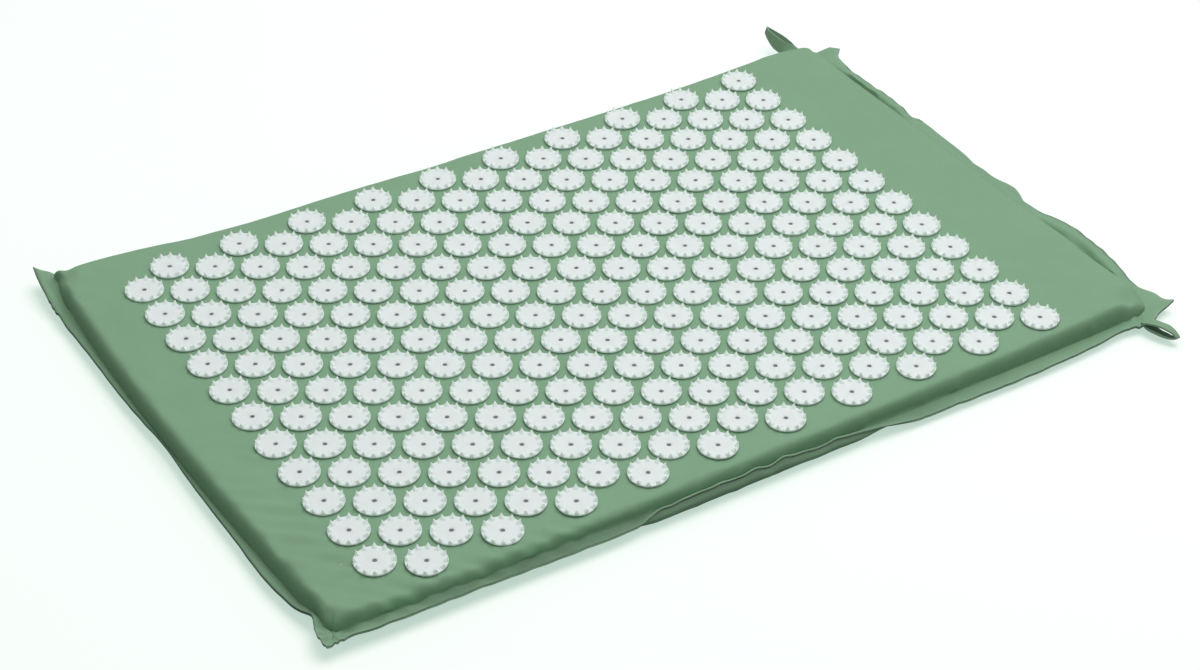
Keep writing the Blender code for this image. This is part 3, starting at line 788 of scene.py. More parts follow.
    def lay_underside(self):
        """Every point of the lower surface, under the same lines."""
        lower = self.upper.copy()
        x, y = self.flat_x, self.flat_y
        closed, gape, sewn = self.mouth_shares(y)
        lip = self.lip_share[:, None]
        folded = fold_share(x) * (y < 0.0)
        front_side, seam = self.seam_heights(x, y)
        tucked = folded * front_side
        foot = (1.0 - tucked) * (seam - 2 * CLOTH - CLEARANCE) + tucked * self.TUCKED_FOOT
        open_lip = gape * ease((x - 0.283) / 0.012)
        foot = foot * (1.0 - open_lip) + self.LIP_HEIGHT * open_lip
        beyond_walls = np.where(np.abs(self.across)[None, :] < 1.0, half_width(x) * 0.5, 0.0)
        inside = np.minimum(
            np.where(x < 0.0, x - self.x[0] - self.cover.left_lip, MAT_END_X - self.lip - x),
            self.inset[None, :] - SIDE_FLANGE + beyond_walls)
        outer = 1.0 - np.clip(inside / self.UNDER_DEPTH, 0.0, 1.0)
        floor = foot * (1.0 - np.sqrt(np.clip(1.0 - outer**2, 0.0, 1.0)))
        upper_z = self.upper[..., 2]
        under_flange = upper_z - 2 * CLOTH - CLEARANCE
        held = ease(lip / 0.25)
        under_tapes = upper_z - self.mouth.hem - self.TAPES
        closed_z = held * under_tapes + (1.0 - held) * (foot + CLOTH) - CLOTH
        open_z = self.LIP_HEIGHT + self.LIP_RISE * ease(lip)
        lip_z = closed * closed_z + gape * open_z + sewn * under_flange
        flange = np.maximum(self.left_share[:, None], np.maximum(self.front_share, self.back_share))
        z = np.where(flange > 0.0, under_flange, floor)
        z = np.where((lip > 0.0) & (flange <= 0.0), lip_z, z)
        front = np.broadcast_to(self.front_share[None, :], z.shape)
        amount = folded * (front > 0.0)
        edge = upper_z[:, :1]
        z = z * (1.0 - amount) + edge * column_of(UNDER_FOLD, 2, front) * amount
        lower[..., 1] = lower[..., 1] * (1.0 - amount) - column_of(UNDER_FOLD, 1, front) * amount
        lower[..., 2] = np.maximum(z, 0.0)
        return lower


def every_face(points):
    """Marks that keep all faces of a grid of points."""
    return np.ones((points.shape[0] - 1, points.shape[1] - 1), bool)


def surface_mesh(name, points, keep, upward):
    """A mesh of the kept faces of a grid, with the grid's numbers of its points, and its faces."""
    rows, columns = points.shape[:2]
    index = np.arange(rows * columns).reshape(rows, columns)
    corners = np.stack([index[:-1, :-1], index[1:, :-1], index[1:, 1:], index[:-1, 1:]], -1)[keep]
    if not upward:
        corners = corners[:, ::-1]
    used, compact = np.unique(corners, return_inverse=True)
    faces = compact.reshape(-1, 4)
    flat = points.reshape(-1, 3)
    mesh = bpy.data.meshes.new(name)
    mesh.from_pydata(flat[used].tolist(), [], faces.tolist())
    mesh.update()
    return mesh, used, faces


def lay_threads(mesh, used, faces, points):
    """Threads' coordinates along and across the cloth, measured over its rolled edges."""
    rows, columns = points.shape[:2]
    steps = np.linalg.norm(np.diff(points, axis=0), axis=-1)
    along = np.concatenate([np.zeros((1, columns)), np.cumsum(steps, 0)], 0)
    steps = np.linalg.norm(np.diff(points, axis=1), axis=-1)
    across = np.concatenate([np.zeros((rows, 1)), np.cumsum(steps, 1)], 1)
    along = along - along[rows // 2][None, :]
    across = across - across[:, columns // 2][:, None]
    write_threads(mesh, faces, np.stack([along, across], -1).reshape(-1, 2)[used])


def write_threads(mesh, faces, flat):
    """Store the threads' coordinates of each point at the corners of its faces."""
    layer = mesh.uv_layers.new(name="threads")
    layer.data.foreach_set("uv", flat[faces.reshape(-1)].astype(np.float32).reshape(-1))


def add_shares(mesh, name, values):
    """A value on each point of a mesh, for its material."""
    attribute = mesh.attributes.new(name, "FLOAT", "POINT")
    attribute.data.foreach_set("value", np.asarray(values, np.float32).reshape(-1))


def add_piece(name, mesh, material=None):
    """An object of the scene from a mesh, at the origin."""
    if material is not None:
        mesh.materials.clear()
        mesh.materials.append(material)
    piece = bpy.data.objects.new(name, mesh)
    bpy.context.scene.collection.objects.link(piece)
    return piece


def pick(piece):
    """Select one object alone and make it the active one."""
    bpy.ops.object.select_all(action="DESELECT")
    piece.select_set(True)
    bpy.context.view_layer.objects.active = piece


def apply_modifiers(piece):
    """Apply every modifier of a piece, in order."""
    pick(piece)
    for modifier in list(piece.modifiers):
        bpy.ops.object.modifier_apply(modifier=modifier.name)


def apply_place(piece):
    """Put an object's place into its mesh."""
    pick(piece)
    bpy.ops.object.transform_apply(location=True, rotation=True, scale=True)


def smooth(piece, degrees=40.0):
    """Shade a piece smooth, with its sharp edges kept."""
    pick(piece)
    bpy.ops.object.shade_smooth_by_angle(angle=math.radians(degrees))


def thicken(piece, thickness):
    """Give a sheet its thickness, away from its outer face."""
    wall = piece.modifiers.new("Cloth", "SOLIDIFY")
    wall.thickness = thickness
    wall.offset = -1.0
    wall.use_even_offset = False
    apply_modifiers(piece)


# Painted shade on the cloth that turns down from the crown: darker and greener, as where the green
# cloth lights itself
PAINTED_WALL_SHADE = (0.78, 0.97, 0.82)


def cotton_finish(name, colour, pitch):
    """Woven cotton: crossing threads, slight slubs, uneven dye, paler worn edges and painted shade.
    """
    finish = Finish(name, 0.88, Sheen_Weight=0.08, Sheen_Roughness=0.5, Specular_IOR_Level=0.2)
    along, across = finish.threads()
    warp = (along * (math.pi / pitch)).sine()
    weft = (across * (math.pi / pitch)).sine()
    over = (warp * weft).above(-0.35, 0.35)
    weave = over * warp.size() + (1.0 - over) * weft.size()
    slub = finish.speckle(0.004, 3.0)
    cloud = finish.speckle(0.060, 4.0)
    grain = finish.speckle(0.0011, 2.0)
    worn = finish.share("worn")
    shade = 0.5 * cloud + 0.2 * slub + 0.3 * grain
    tone = finish.mix(shade.above(0.25, 0.75), times(colour, 0.93), times(colour, 1.07))
    thread = finish.mix(weave * 0.30, colour, times(colour, 1.12))
    tone = finish.mix(0.45, tone, thread)
    pale = tuple(channel * 0.7 + 0.3 * 0.62 for channel in colour)
    tone = finish.mix(worn * (0.25 + 0.5 * slub), tone, pale)
    # Painted shade: the walls that turn down from the crown are multiplied darker and greener
    tone = finish.mix(finish.share("turned"), tone, PAINTED_WALL_SHADE, "MULTIPLY")
    # Painted shade: the outermost strip of the closed end's flange and of the gaping hem is painted
    # much darker
    finish.colour(finish.mix(finish.share("painted_edge_shade"), tone, times(colour, 0.42)))
    finish.roughness(0.84 + 0.10 * slub)
    crumple = finish.speckle(0.017, 4.0)
    finish.bump(weave * 0.16 + grain * 0.06 + crumple, 0.0009, 0.55)
    return finish.material


def foam_finish(colour):
    """Open-cell foam, pitted all over, with painted shade in its pits."""
    finish = Finish("pad_foam", 0.95)
    cells = finish.node("ShaderNodeTexVoronoi", {}, {"Vector": finish.place(), "Scale": 1 / 0.0012})
    # Painted shade: darker where the bump is low, in the pits
    finish.colour(finish.mix(cells.above(0.0, 0.5), times(colour, 0.72), colour))
    finish.bump(cells, 0.0006)
    return finish.material


def plastic_finish(colour, painted_green_light):
    """Moulded white plastic: satin and a little clear, with green light from the cloth painted on
    its thin edges.
    """
    finish = Finish("white_plastic", 0.38, Subsurface_Weight=1.0, Subsurface_Scale=0.0035,
                    Subsurface_Radius=(1.0, 1.0, 1.0), Specular_IOR_Level=0.45)
    cloud = finish.speckle(0.012, 2.0)
    body = finish.mix(cloud, times(colour, 0.985), times(colour, 1.01))
    # Painted light: the rims and the spikes' upper parts take the painted green light
    finish.colour(finish.mix(finish.share("thin"), body, painted_green_light))
    finish.roughness(0.34 + 0.10 * finish.speckle(0.006, 2.0))
    finish.bump(finish.speckle(0.0016, 2.0), 0.00006, 0.5)
    return finish.material


def rivet_finish(colour):
    """Dull steel of the rivets."""
    finish = Finish("rivet_steel", 0.45, metallic=0.35)
    grain = finish.speckle(0.0009, 2.0)
    finish.colour(finish.mix(grain, times(colour, 0.7), times(colour, 1.3)))
    finish.roughness(0.34 + 0.2 * grain)
    return finish.material


def thread_finish(colour):
    """Twisted sewing thread."""
    finish = Finish("sewing_thread", 0.6, Sheen_Weight=0.2)
    twist = finish.speckle(0.0006, 1.0)
    finish.colour(finish.mix(twist, times(colour, 0.80), times(colour, 1.25)))
    finish.bump(twist, 0.0001)
    return finish.material


def tape_finish(name, colour, pitch):
    """Hook or napped tape, with rows of tiny ends."""
    finish = Finish(name, 0.82, Sheen_Weight=0.3)
    rows = finish.node("ShaderNodeTexVoronoi", {}, {"Vector": finish.place(), "Scale": 1.0 / pitch})
    finish.colour(finish.mix(rows.above(0.1, 0.6), times(colour, 1.2), times(colour, 0.7)))
    finish.bump(rows, 0.0005)
    return finish.material


def cover_form(context):
    """The cover's form from the present settings."""
    scene = context.scene
    return CoverForm(scene.mat_cover, scene.mat_mouth)


def cotton(context):
    """The one cotton material, made when it is first asked for."""
    settings = context.scene.mat_cover
    found = bpy.data.materials.get("sage_cotton_weave")
    return found or cotton_finish("sage_cotton_weave", settings.colour[:], settings.thread_pitch)


def flap_faces(form):
    """Marks on the grid's faces that are the flap's. The others are the cover's."""
    first, last = form.mouth_lines
    flap = ~every_face(form.upper)
    flap[form.crown_end:, first:last] = True
    return flap


def cover_piece(name, form, points, keep, upward, thickness, material):
    """A cloth piece cut from the grid, with its threads, wear, painted shade and thickness."""
    mesh, used, faces = surface_mesh(name, points, keep, upward)
    lay_threads(mesh, used, faces, form.upper)
    left, lip = form.left_share[:, None], form.lip_share[:, None]
    shares = np.maximum(np.maximum(left, lip), np.maximum(form.front_share, form.back_share))
    add_shares(mesh, "worn", np.clip(shares * 3.0 - 2.2, 0.0, 1.0).reshape(-1)[used])
    gape = form.mouth_shares(form.flat_y)[1]
    # Painted shade along the outermost strip of the closed end's flange, away from the front
    # corner, and of the gaping hem, in place of the shade under the edge
    painted_edge_shade = np.maximum(left * (form.flat_y > -0.180), lip * (gape > 0.5))
    # The cloth that turns down from the crown, which takes painted shade in its colour
    add_shares(mesh, "turned", form.turned.reshape(-1)[used])
    add_shares(mesh, "painted_edge_shade", np.clip(painted_edge_shade * 8.0 - 6.6, 0.0, 1.0).reshape(-1)[used])
    piece = add_piece(name, mesh, material)
    thicken(piece, thickness)
    smooth(piece, 55.0)
    return piece


class MAT_OT_cover_top(bpy.types.Operator):
    """Model the top of the cover, from its seam flange over the rolled edges to the crown"""

    bl_idname = "mat.cover_top"
    bl_label = "Cover top"

    def execute(self, context):
        form = cover_form(context)
        piece = cover_piece(
            "cover_top", form, form.upper, ~flap_faces(form), True, CLOTH, cotton(context))
        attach(piece, "mat")
        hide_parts("cover_top_panel")
        return {"FINISHED"}


class MAT_OT_mouth_flap(bpy.types.Operator):
    """Model the doubled hem over the mouth, which bends up from the cover"""

    bl_idname = "mat.mouth_flap"
    bl_label = "Mouth flap"

    def execute(self, context):
        form = cover_form(context)
        hem = context.scene.mat_mouth.hem
        piece = cover_piece(
            "mouth_flap", form, form.upper, flap_faces(form), True, hem, cotton(context))
        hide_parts("closure_flap")
        bend_with_flap(piece)
        return {"FINISHED"}


def bend_with_flap(piece):
    """Put a piece's place into its mesh."""
    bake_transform(piece)


class MAT_OT_cover_bottom(bpy.types.Operator):
    """Model the underside of the cover, with its flange and the mouth's lower lip"""

    bl_idname = "mat.cover_bottom"
    bl_label = "Cover bottom"

    def execute(self, context):
        form = cover_form(context)
        lower = form.lay_underside()
        piece = cover_piece(
            "cover_bottom", form, lower, every_face(lower), False, CLOTH, cotton(context))
        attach(piece, "mat")
        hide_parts("cover_bottom_panel")
        return {"FINISHED"}


# The pad: how far it stands in from its solid on each side, and the radius of its edges
PAD_INSET = 0.016
PAD_EDGE = 0.0085


class MAT_OT_foam(bpy.types.Operator):
    """Model the foam pad inside the cover"""

    bl_idname = "mat.foam"
    bl_label = "Foam pad"

    def execute(self, context):
        settings = context.scene.mat_cover
        low, high = PAD_LOW, PAD_HIGH
        draw_in = Vector((PAD_INSET, PAD_INSET, 0.0))
        bpy.ops.object.select_all(action="DESELECT")
        size = high - low - 2 * draw_in
        bpy.ops.mesh.primitive_cube_add(size=1.0, location=(low + high) / 2, scale=size)
        piece = context.object
        piece.name = piece.data.name = "foam_core"
        apply_place(piece)
        bpy.ops.object.mode_set(mode="EDIT")
        bpy.ops.mesh.select_all(action="SELECT")
        bpy.ops.mesh.bevel(offset=PAD_EDGE, segments=4, affect="EDGES")
        bpy.ops.object.mode_set(mode="OBJECT")
        piece.data.materials.append(foam_finish(settings.foam_colour[:]))
        smooth(piece)
        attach(piece, "mat")
        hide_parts("foam_pad")
        return {"FINISHED"}


def select_parts(piece, kind, wanted):
    """In edit mode, select only the faces or points that pass a test."""
    bpy.ops.mesh.select_mode(type=kind)
    bm = bmesh.from_edit_mesh(piece.data)
    for part in bm.faces if kind == "FACE" else bm.verts:
        part.select = wanted(part)
    bm.select_flush_mode()
    bmesh.update_edit_mesh(piece.data)


def faces_up(face):
    """Whether a face looks straight up."""
    return face.normal.z > 0.9


# A disc, in shares: its underside's radius, its plate's soft edge, each step of a spike as a part
# of the land's width and of the spike's height, and which heights lean by how much. The last one
# is how far the recess's wall slopes in, in metres
UNDER_TAPER = 0.96
SOFT_EDGE = 0.15
SPIKE_STEPS = ((0.23, 0.42), (0.17, 0.58))
SPIKE_LEANS = ((0.3, 0.6, 0.3), (0.6, 1.2, 1.0))
RECESS_SLOPE = 0.0002


def spiked_disc_mesh(settings):
    """One disc in one skin: its plate, the rivet's recess and the spikes drawn up from its rim."""
    top, radius, land = settings.thickness, settings.radius, settings.land
    soft = top * SOFT_EDGE
    height = SPIKE_TIP - DISC_BOTTOM - top
    bpy.ops.object.select_all(action="DESELECT")
    bpy.ops.mesh.primitive_cone_add(
        vertices=settings.sides, radius1=radius * UNDER_TAPER, radius2=radius, depth=top - soft,
        location=(0, 0, (top - soft) / 2))
    disc = bpy.context.object
    apply_place(disc)
    bpy.ops.object.mode_set(mode="EDIT")
    select_parts(disc, "FACE", faces_up)
    bpy.ops.mesh.inset(thickness=soft, depth=soft)
    bpy.ops.mesh.inset(thickness=land)
    flat = math.cos(math.pi / settings.sides)
    bpy.ops.mesh.inset(thickness=(radius - soft - land) * flat - settings.recess_radius)
    bpy.ops.mesh.inset(thickness=RECESS_SLOPE, depth=-settings.recess_depth)

    step = math.tau / settings.sides

    def carries_spike(face):
        middle = face.calc_center_median()
        side = round(math.atan2(middle.y, middle.x) / step - 0.5)
        return abs(middle.xy.length - (radius - soft - land / 2)) < land / 3 and side % 2 == 0

    select_parts(disc, "FACE", carries_spike)
    for narrowing, rise in SPIKE_STEPS:
        bpy.ops.mesh.inset(thickness=land * narrowing, depth=height * rise, use_individual=True)
    bpy.ops.mesh.merge(type="COLLAPSE")
    for low, high, lean in SPIKE_LEANS:
        select_parts(disc, "VERT", lambda point: low < (point.co.z - top) / height < high)
        grow = 1.0 + lean * settings.spike_lean / (radius - land / 2)
        bpy.ops.transform.resize(value=(grow, grow, 1.0), center_override=(0, 0, 0))
    bpy.ops.mesh.select_all(action="SELECT")
    bpy.ops.transform.rotate(value=settings.first_turn, orient_axis="Z", center_override=(0, 0, 0))
    bpy.ops.object.mode_set(mode="OBJECT")
    mesh = disc.data
    mesh.name = "spiked_disc"
    points = np.array([vertex.co[:] for vertex in mesh.vertices])
    radial = np.hypot(points[:, 0], points[:, 1])
    # Where the painted green light goes: up to 0.3 on the spikes' upper parts, fully on the plate's
    # outer rim
    thin = np.clip((points[:, 2] - top) / height, 0.0, 1.0) * 0.3
    thin = np.maximum(thin, np.clip((radial / radius - 0.93) * 12.0, 0.0, 1.0))
    add_shares(mesh, "thin", thin)
    bpy.data.objects.remove(disc)
    return mesh


def join(objects):
    """Join objects into the first of them."""
    bpy.ops.object.select_all(action="DESELECT")
    for item in objects:
        item.select_set(True)
    bpy.context.view_layer.objects.active = objects[0]
    bpy.ops.object.join()
    return bpy.context.view_layer.objects.active


def column_places(column):
    """Middle of every disc's underside in one column, from the back to the front."""
    count = SHORT_COLUMN + 1 if column % 2 else SHORT_COLUMN
    x = FIRST_DISC.x + column * COLUMN_SPACING
    return [Vector((x, ((count - 1) / 2 - row) * DISC_PITCH, DISC_BOTTOM)) for row in range(count)]


def column_nodes(column):
    """Names of the frame's discs that lie in one column."""
    x = FIRST_DISC.x + column * COLUMN_SPACING
    return [name for name in DISC_NODES if abs(node_middle(name).x - x) < COLUMN_SPACING / 4]


class MAT_OT_discs(bpy.types.Operator):
    """Model one spiked disc and copy it to every place of the staggered columns"""

    bl_idname = "mat.discs"
    bl_label = "Spiked discs"

    def execute(self, context):
        settings = context.scene.mat_discs
        mesh = spiked_disc_mesh(settings)
        mesh.materials.append(plastic_finish(settings.colour[:], settings.painted_green_light[:]))
        chance = random.Random(5)
        for column in range(COLUMNS):
            copies = []
            for place in column_places(column):
                copy = add_piece("disc", mesh.copy())
                copy.location = place - Vector((0, 0, DISC_SINK))
                turn = chance.uniform(-1, 1) * settings.loose_turn
                tilts = [chance.uniform(-settings.loose_tilt, settings.loose_tilt) for _ in "xy"]
                copy.rotation_euler = (*tilts, turn)
                copies.append(copy)
            piece = join(copies)
            apply_place(piece)
            piece.name = piece.data.name = f"disc_column_{column + 1:02d}"
            smooth(piece, 38.0)
            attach(piece, "mat")
            nodes = column_nodes(column)
            if nodes:
                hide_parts(*nodes)
        return {"FINISHED"}


# A rivet: the gap round it, its share of the recess's depth, how far its foot is sunk, and the
# rings of its head, each by its share of the radius and its rise
RIVET_GAP = 0.00025
RIVET_RISE = 0.6
RIVET_SINK = 0.0001
RIVET_HEAD = ((0.25, 0.00015), (0.20, -0.00030), (0.25, 0.0))


class MAT_OT_rivets(bpy.types.Operator):
    """Model the rivet at the middle of a disc and copy it to every disc"""

    bl_idname = "mat.rivets"
    bl_label = "Rivets"

    def execute(self, context):
        settings = context.scene.mat_discs
        radius = settings.recess_radius - RIVET_GAP
        depth = settings.recess_depth * RIVET_RISE
        foot = settings.thickness - settings.recess_depth - RIVET_SINK
        bpy.ops.object.select_all(action="DESELECT")
        bpy.ops.mesh.primitive_cylinder_add(
            vertices=12, radius=radius, depth=depth, location=(0, 0, foot + depth / 2))
        rivet = context.object
        apply_place(rivet)
        bpy.ops.object.mode_set(mode="EDIT")
        select_parts(rivet, "FACE", faces_up)
        for narrowing, rise in RIVET_HEAD:
            bpy.ops.mesh.inset(thickness=radius * narrowing, depth=rise)
        bpy.ops.object.mode_set(mode="OBJECT")
        rivet.data.materials.append(rivet_finish(settings.rivet_colour[:]))
        chance = random.Random(8)
        copies = []
        for column in range(COLUMNS):
            for place in column_places(column):
                copy = add_piece("rivet", rivet.data.copy())
                copy.location = place
                copy.rotation_euler = (0, 0, chance.uniform(0, math.tau))
                copies.append(copy)
        bpy.data.objects.remove(rivet)
        piece = join(copies)
        apply_place(piece)
        piece.name = piece.data.name = "disc_rivets"
        smooth(piece, 35.0)
        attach(piece, "mat")
        return {"FINISHED"}


def surface_finder(name):
    """A search tree of one piece's mesh."""
    mesh = bpy.data.objects[name].data
    points = [vertex.co.copy() for vertex in mesh.vertices]
    return BVHTree.FromPolygons(points, [tuple(face.vertices) for face in mesh.polygons])


# Hook-and-loop tape: its thickness, and how far below the hem each of the two lies
TAPE_THICKNESS = 0.0008
HOOK_GAP = 0.00005
PILE_GAP = 0.0012


def tape_strip(name, form, shift, material):
    """A strip of tape that lies along the closed part of the lips, below the upper one."""
    lip = form.lip_share
    rows = np.where((lip > 0.08) & (form.x > TAPE_LOW.x - 0.001))[0]
    y = form.flat_y[rows[0]]
    columns = np.where(np.abs(y) <= TAPE_HIGH.y)[0]
    points = form.upper[np.ix_(rows, columns)].copy()
    points[..., 2] -= shift
    mesh = surface_mesh(name, points, every_face(points), True)[0]
    piece = add_piece(name, mesh, material)
    thicken(piece, TAPE_THICKNESS)
    smooth(piece)
    return piece


class MAT_OT_tapes(bpy.types.Operator):
    """Model the hook tape under the flap and the napped tape on the lower lip"""

    bl_idname = "mat.tapes"
    bl_label = "Closure tapes"

    def execute(self, context):
        form = cover_form(context)
        mouth = context.scene.mat_mouth
        hook = tape_strip("hook_tape_strip", form, mouth.hem + HOOK_GAP,
                          tape_finish("hook_tape", mouth.hook_colour[:], 0.0009))
        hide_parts("closure_hook_tape")
        bend_with_flap(hook)
        pile = tape_strip("loop_tape_strip", form, mouth.hem + PILE_GAP,
                          tape_finish("napped_tape", mouth.pile_colour[:], 0.0006))
        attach(pile, "mat")
        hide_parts("closure_loop_tape")
        return {"FINISHED"}


def loop_path(settings, steps=40):
    """Side view of a folded tape: flat together at its root and open round an eye."""
    length, eye = settings.length, settings.eye
    points = []
    for step in range(steps + 1):
        t = step / steps
        angle = math.tau * (t - 0.5)
        out = length * (0.5 + 0.5 * math.cos(angle))
        swell = math.sin(math.pi * min(max((out / length - 0.10) / 0.90, 0.0), 1.0)) ** 0.55
        half = (settings.tape / 2 + 0.0001) + (eye / 2) * swell
        side = -1 if t < 0.5 else 1
        end = math.sqrt(max(0.0, 1.0 - (max(out / length - 0.82, 0.0) / 0.18) ** 2))
        points.append((out, side * half * (end if out > length * 0.82 else 1.0)))
    return points


# Distance between two lines of a loop's tape along its threads, and each loop: its name and side,
# length and eye as shares, lean in plan, rise, twist of the tape
LOOP_STEP = 0.0018
LOOP_SHAPES = (
    ("back", 1, 1.08, 1.35, math.radians(-9.6), 0.0100, math.radians(66.0)),
    ("front", -1, 0.75, 0.75, math.radians(15.0), -0.0012, math.radians(-16.0)),
)


class MAT_OT_loops(bpy.types.Operator):
    """Model the two folded tapes that the mat is hung up by"""

    bl_idname = "mat.loops"
    bl_label = "Hanging loops"

    def execute(self, context):
        settings = context.scene.mat_loops
        for name, *shape in LOOP_SHAPES:
            piece = self.loop(context, settings, name, *shape)
            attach(piece, f"{name}_loop")
            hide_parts(f"hanging_loop_{name}")
        return {"FINISHED"}

    def loop(self, context, settings, name, side, length, eye, turn, rise, twist):
        """One tape swept along its side view, then turned, twisted and bent as it hangs."""
        low, high = node_box(f"hanging_loop_{name}")
        root = Vector(((low.x + high.x) / 2, high.y if side < 0 else low.y, (low.z + high.z) / 2))
        path = [(out * length, up * eye) for out, up in loop_path(settings)]
        across = np.linspace(-0.5, 0.5, 7)
        points = np.zeros((len(path), len(across), 3))
        for row, (out, up) in enumerate(path):
            share = out / (settings.length * length)
            lean = turn * ease(share * 1.6)
            roll = twist * ease(share * 2.2)
            middle = Vector((out * math.sin(lean), side * out * math.cos(lean), rise * share**1.5))
            for column, place in enumerate(across):
                edge = place * settings.width * (1.0 - 0.5 * ease((share - 0.55) / 0.45))
                offset_x = edge * math.cos(roll) - up * math.sin(roll)
                offset_z = edge * math.sin(roll) + up * math.cos(roll)
                offset_y = -side * offset_x * math.sin(lean)
                offset = Vector((offset_x * math.cos(lean), offset_y, offset_z))
                points[row, column] = root + middle + offset
        mesh, used, faces = surface_mesh(f"loop_{name}", points, every_face(points), side > 0)
        rows, columns = used // len(across), used % len(across)
        write_threads(mesh, faces, np.stack([rows * LOOP_STEP, columns * settings.width / 6], -1))
        add_shares(mesh, "worn", (np.abs(across[columns]) > 0.45) * 0.8)
        piece = add_piece(f"loop_{name}", mesh, cotton(context))
        wall = piece.modifiers.new("Tape", "SOLIDIFY")
        wall.thickness = settings.tape
        wall.offset = 0.0
        apply_modifiers(piece)
        smooth(piece, 50.0)
        return piece


# Sewing: the length of a stitch, its thread's radius and the distance between two stitches
STITCH_LENGTH = 0.0023
STITCH_RADIUS = 0.00026
STITCH_PITCH = 0.0028


def stitch_mesh(length, radius):
    """One stitch, a short thread that dips at both ends."""
    bpy.ops.object.select_all(action="DESELECT")
    bpy.ops.mesh.primitive_cylinder_add(vertices=6, radius=radius, depth=length)
    stitch = bpy.context.object
    stitch.rotation_euler = (0, math.pi / 2, 0)
    apply_place(stitch)
    bpy.ops.object.mode_set(mode="EDIT")
    bm = bmesh.from_edit_mesh(stitch.data)
    for edge in bm.edges:
        edge.select = abs(edge.verts[0].co.x - edge.verts[1].co.x) > length / 2
    bmesh.update_edit_mesh(stitch.data)
    bpy.ops.mesh.subdivide(number_cuts=2)
    bpy.ops.object.mode_set(mode="OBJECT")
    for vertex in stitch.data.vertices:
        vertex.co.z -= 2.2 * radius * (2 * vertex.co.x / length) ** 2
    mesh = stitch.data
    bpy.data.objects.remove(stitch)
    return mesh


def along_line(points, step):
    """Places at even steps along a line of points."""
    points = np.array(points)
    lengths = np.concatenate([[0.0], np.cumsum(np.linalg.norm(np.diff(points, axis=0), axis=1))])
    count = max(2, int(lengths[-1] / step))
    stations = np.linspace(0.0, lengths[-1], count)
    return np.stack([np.interp(stations, lengths, points[:, axis]) for axis in range(3)], -1)


def lay_stitches(name, lines, finder, stitch, material):
    """Copies of one stitch along lines, laid on the cloth below them."""
    vertices, faces = [], []
    base = np.array([vertex.co[:] for vertex in stitch.vertices])
    shape = [tuple(face.vertices) for face in stitch.polygons]
    for line in lines:
        places = along_line(line, STITCH_PITCH)
        for before, after in zip(places, places[1:]):
            middle = Vector((before + after) / 2)
            found, normal, _, _ = finder.find_nearest(middle)
            if found is None:
                continue
            along = Vector(after - before).normalized()
            if normal.z < 0:
                normal = -normal
            up = (normal - along * normal.dot(along)).normalized()
            side = up.cross(along)
            turn = np.array([along, side, up])
            start = len(vertices)
            vertices.extend((base @ turn + np.array(found)).tolist())
            faces.extend(tuple(start + index for index in face) for face in shape)
    mesh = bpy.data.meshes.new(name)
    mesh.from_pydata(vertices, [], faces)
    mesh.update()
    piece = add_piece(name, mesh, material)
    smooth(piece, 60.0)
    return piece


class MAT_OT_stitching(bpy.types.Operator):
    """Sew the seam round the cover, the hems of the mouth and the ends of the opening"""

    bl_idname = "mat.stitching"
    bl_label = "Stitching"

    def execute(self, context):
        form = cover_form(context)
        thread = thread_finish(times(context.scene.mat_cover.colour[:], 0.86))
        stitch = stitch_mesh(STITCH_LENGTH, STITCH_RADIUS)
        points = form.upper
        seam_row = form.FLANGE_STEPS - 2
        back = points.shape[1] - 1 - seam_row
        last = len(form.x) - 3
        first, second = form.mouth_lines
        lines = [points[seam_row:last, seam_row], points[seam_row:last, back],
                 points[seam_row, seam_row:back],
                 points[last, seam_row:first], points[last, second:back]]
        piece = lay_stitches("seam_stitches", lines, surface_finder("cover_top"), stitch, thread)
        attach(piece, "mat")
        hem_rows = (last, last - 5)
        hems = [points[row, first + 1:second] for row in hem_rows]
        for place, low, high in BARTACKS:
            column = int(np.argmin(np.abs(form.flat_y[-1] - place)))
            rows = np.where((points[:, column, 0] > low) & (points[:, column, 0] < high))[0]
            hems.extend(points[rows, column] + (0.0, shift, 0.0) for shift in BARTACK_SHIFTS)
        piece = lay_stitches("hem_stitches", hems, surface_finder("mouth_flap"), stitch, thread)
        bend_with_flap(piece)
        return {"FINISHED"}


# The photograph's viewpoint, and the floor: its size, its height and its colours as it lights the
# mat and as the camera sees it, where one part answers the light on it and the other is its own
CAMERA_PLACE = (-0.81858, -1.21552, 1.07405)
CAMERA_TURN = (53.29543, -1.1589, -32.6201)
FLOOR_SIZE = 14.0
FLOOR_Z = -0.0002
FLOOR_BOUNCE = (0.24, 0.27, 0.25)
FLOOR_SEEN = (0.53, 0.46, 0.48)
# Painted light: the glow keeps the floor light and green where it lies in shade, as in the mat's
# shadow
FLOOR_GLOW = (0.46, 0.60, 0.53)


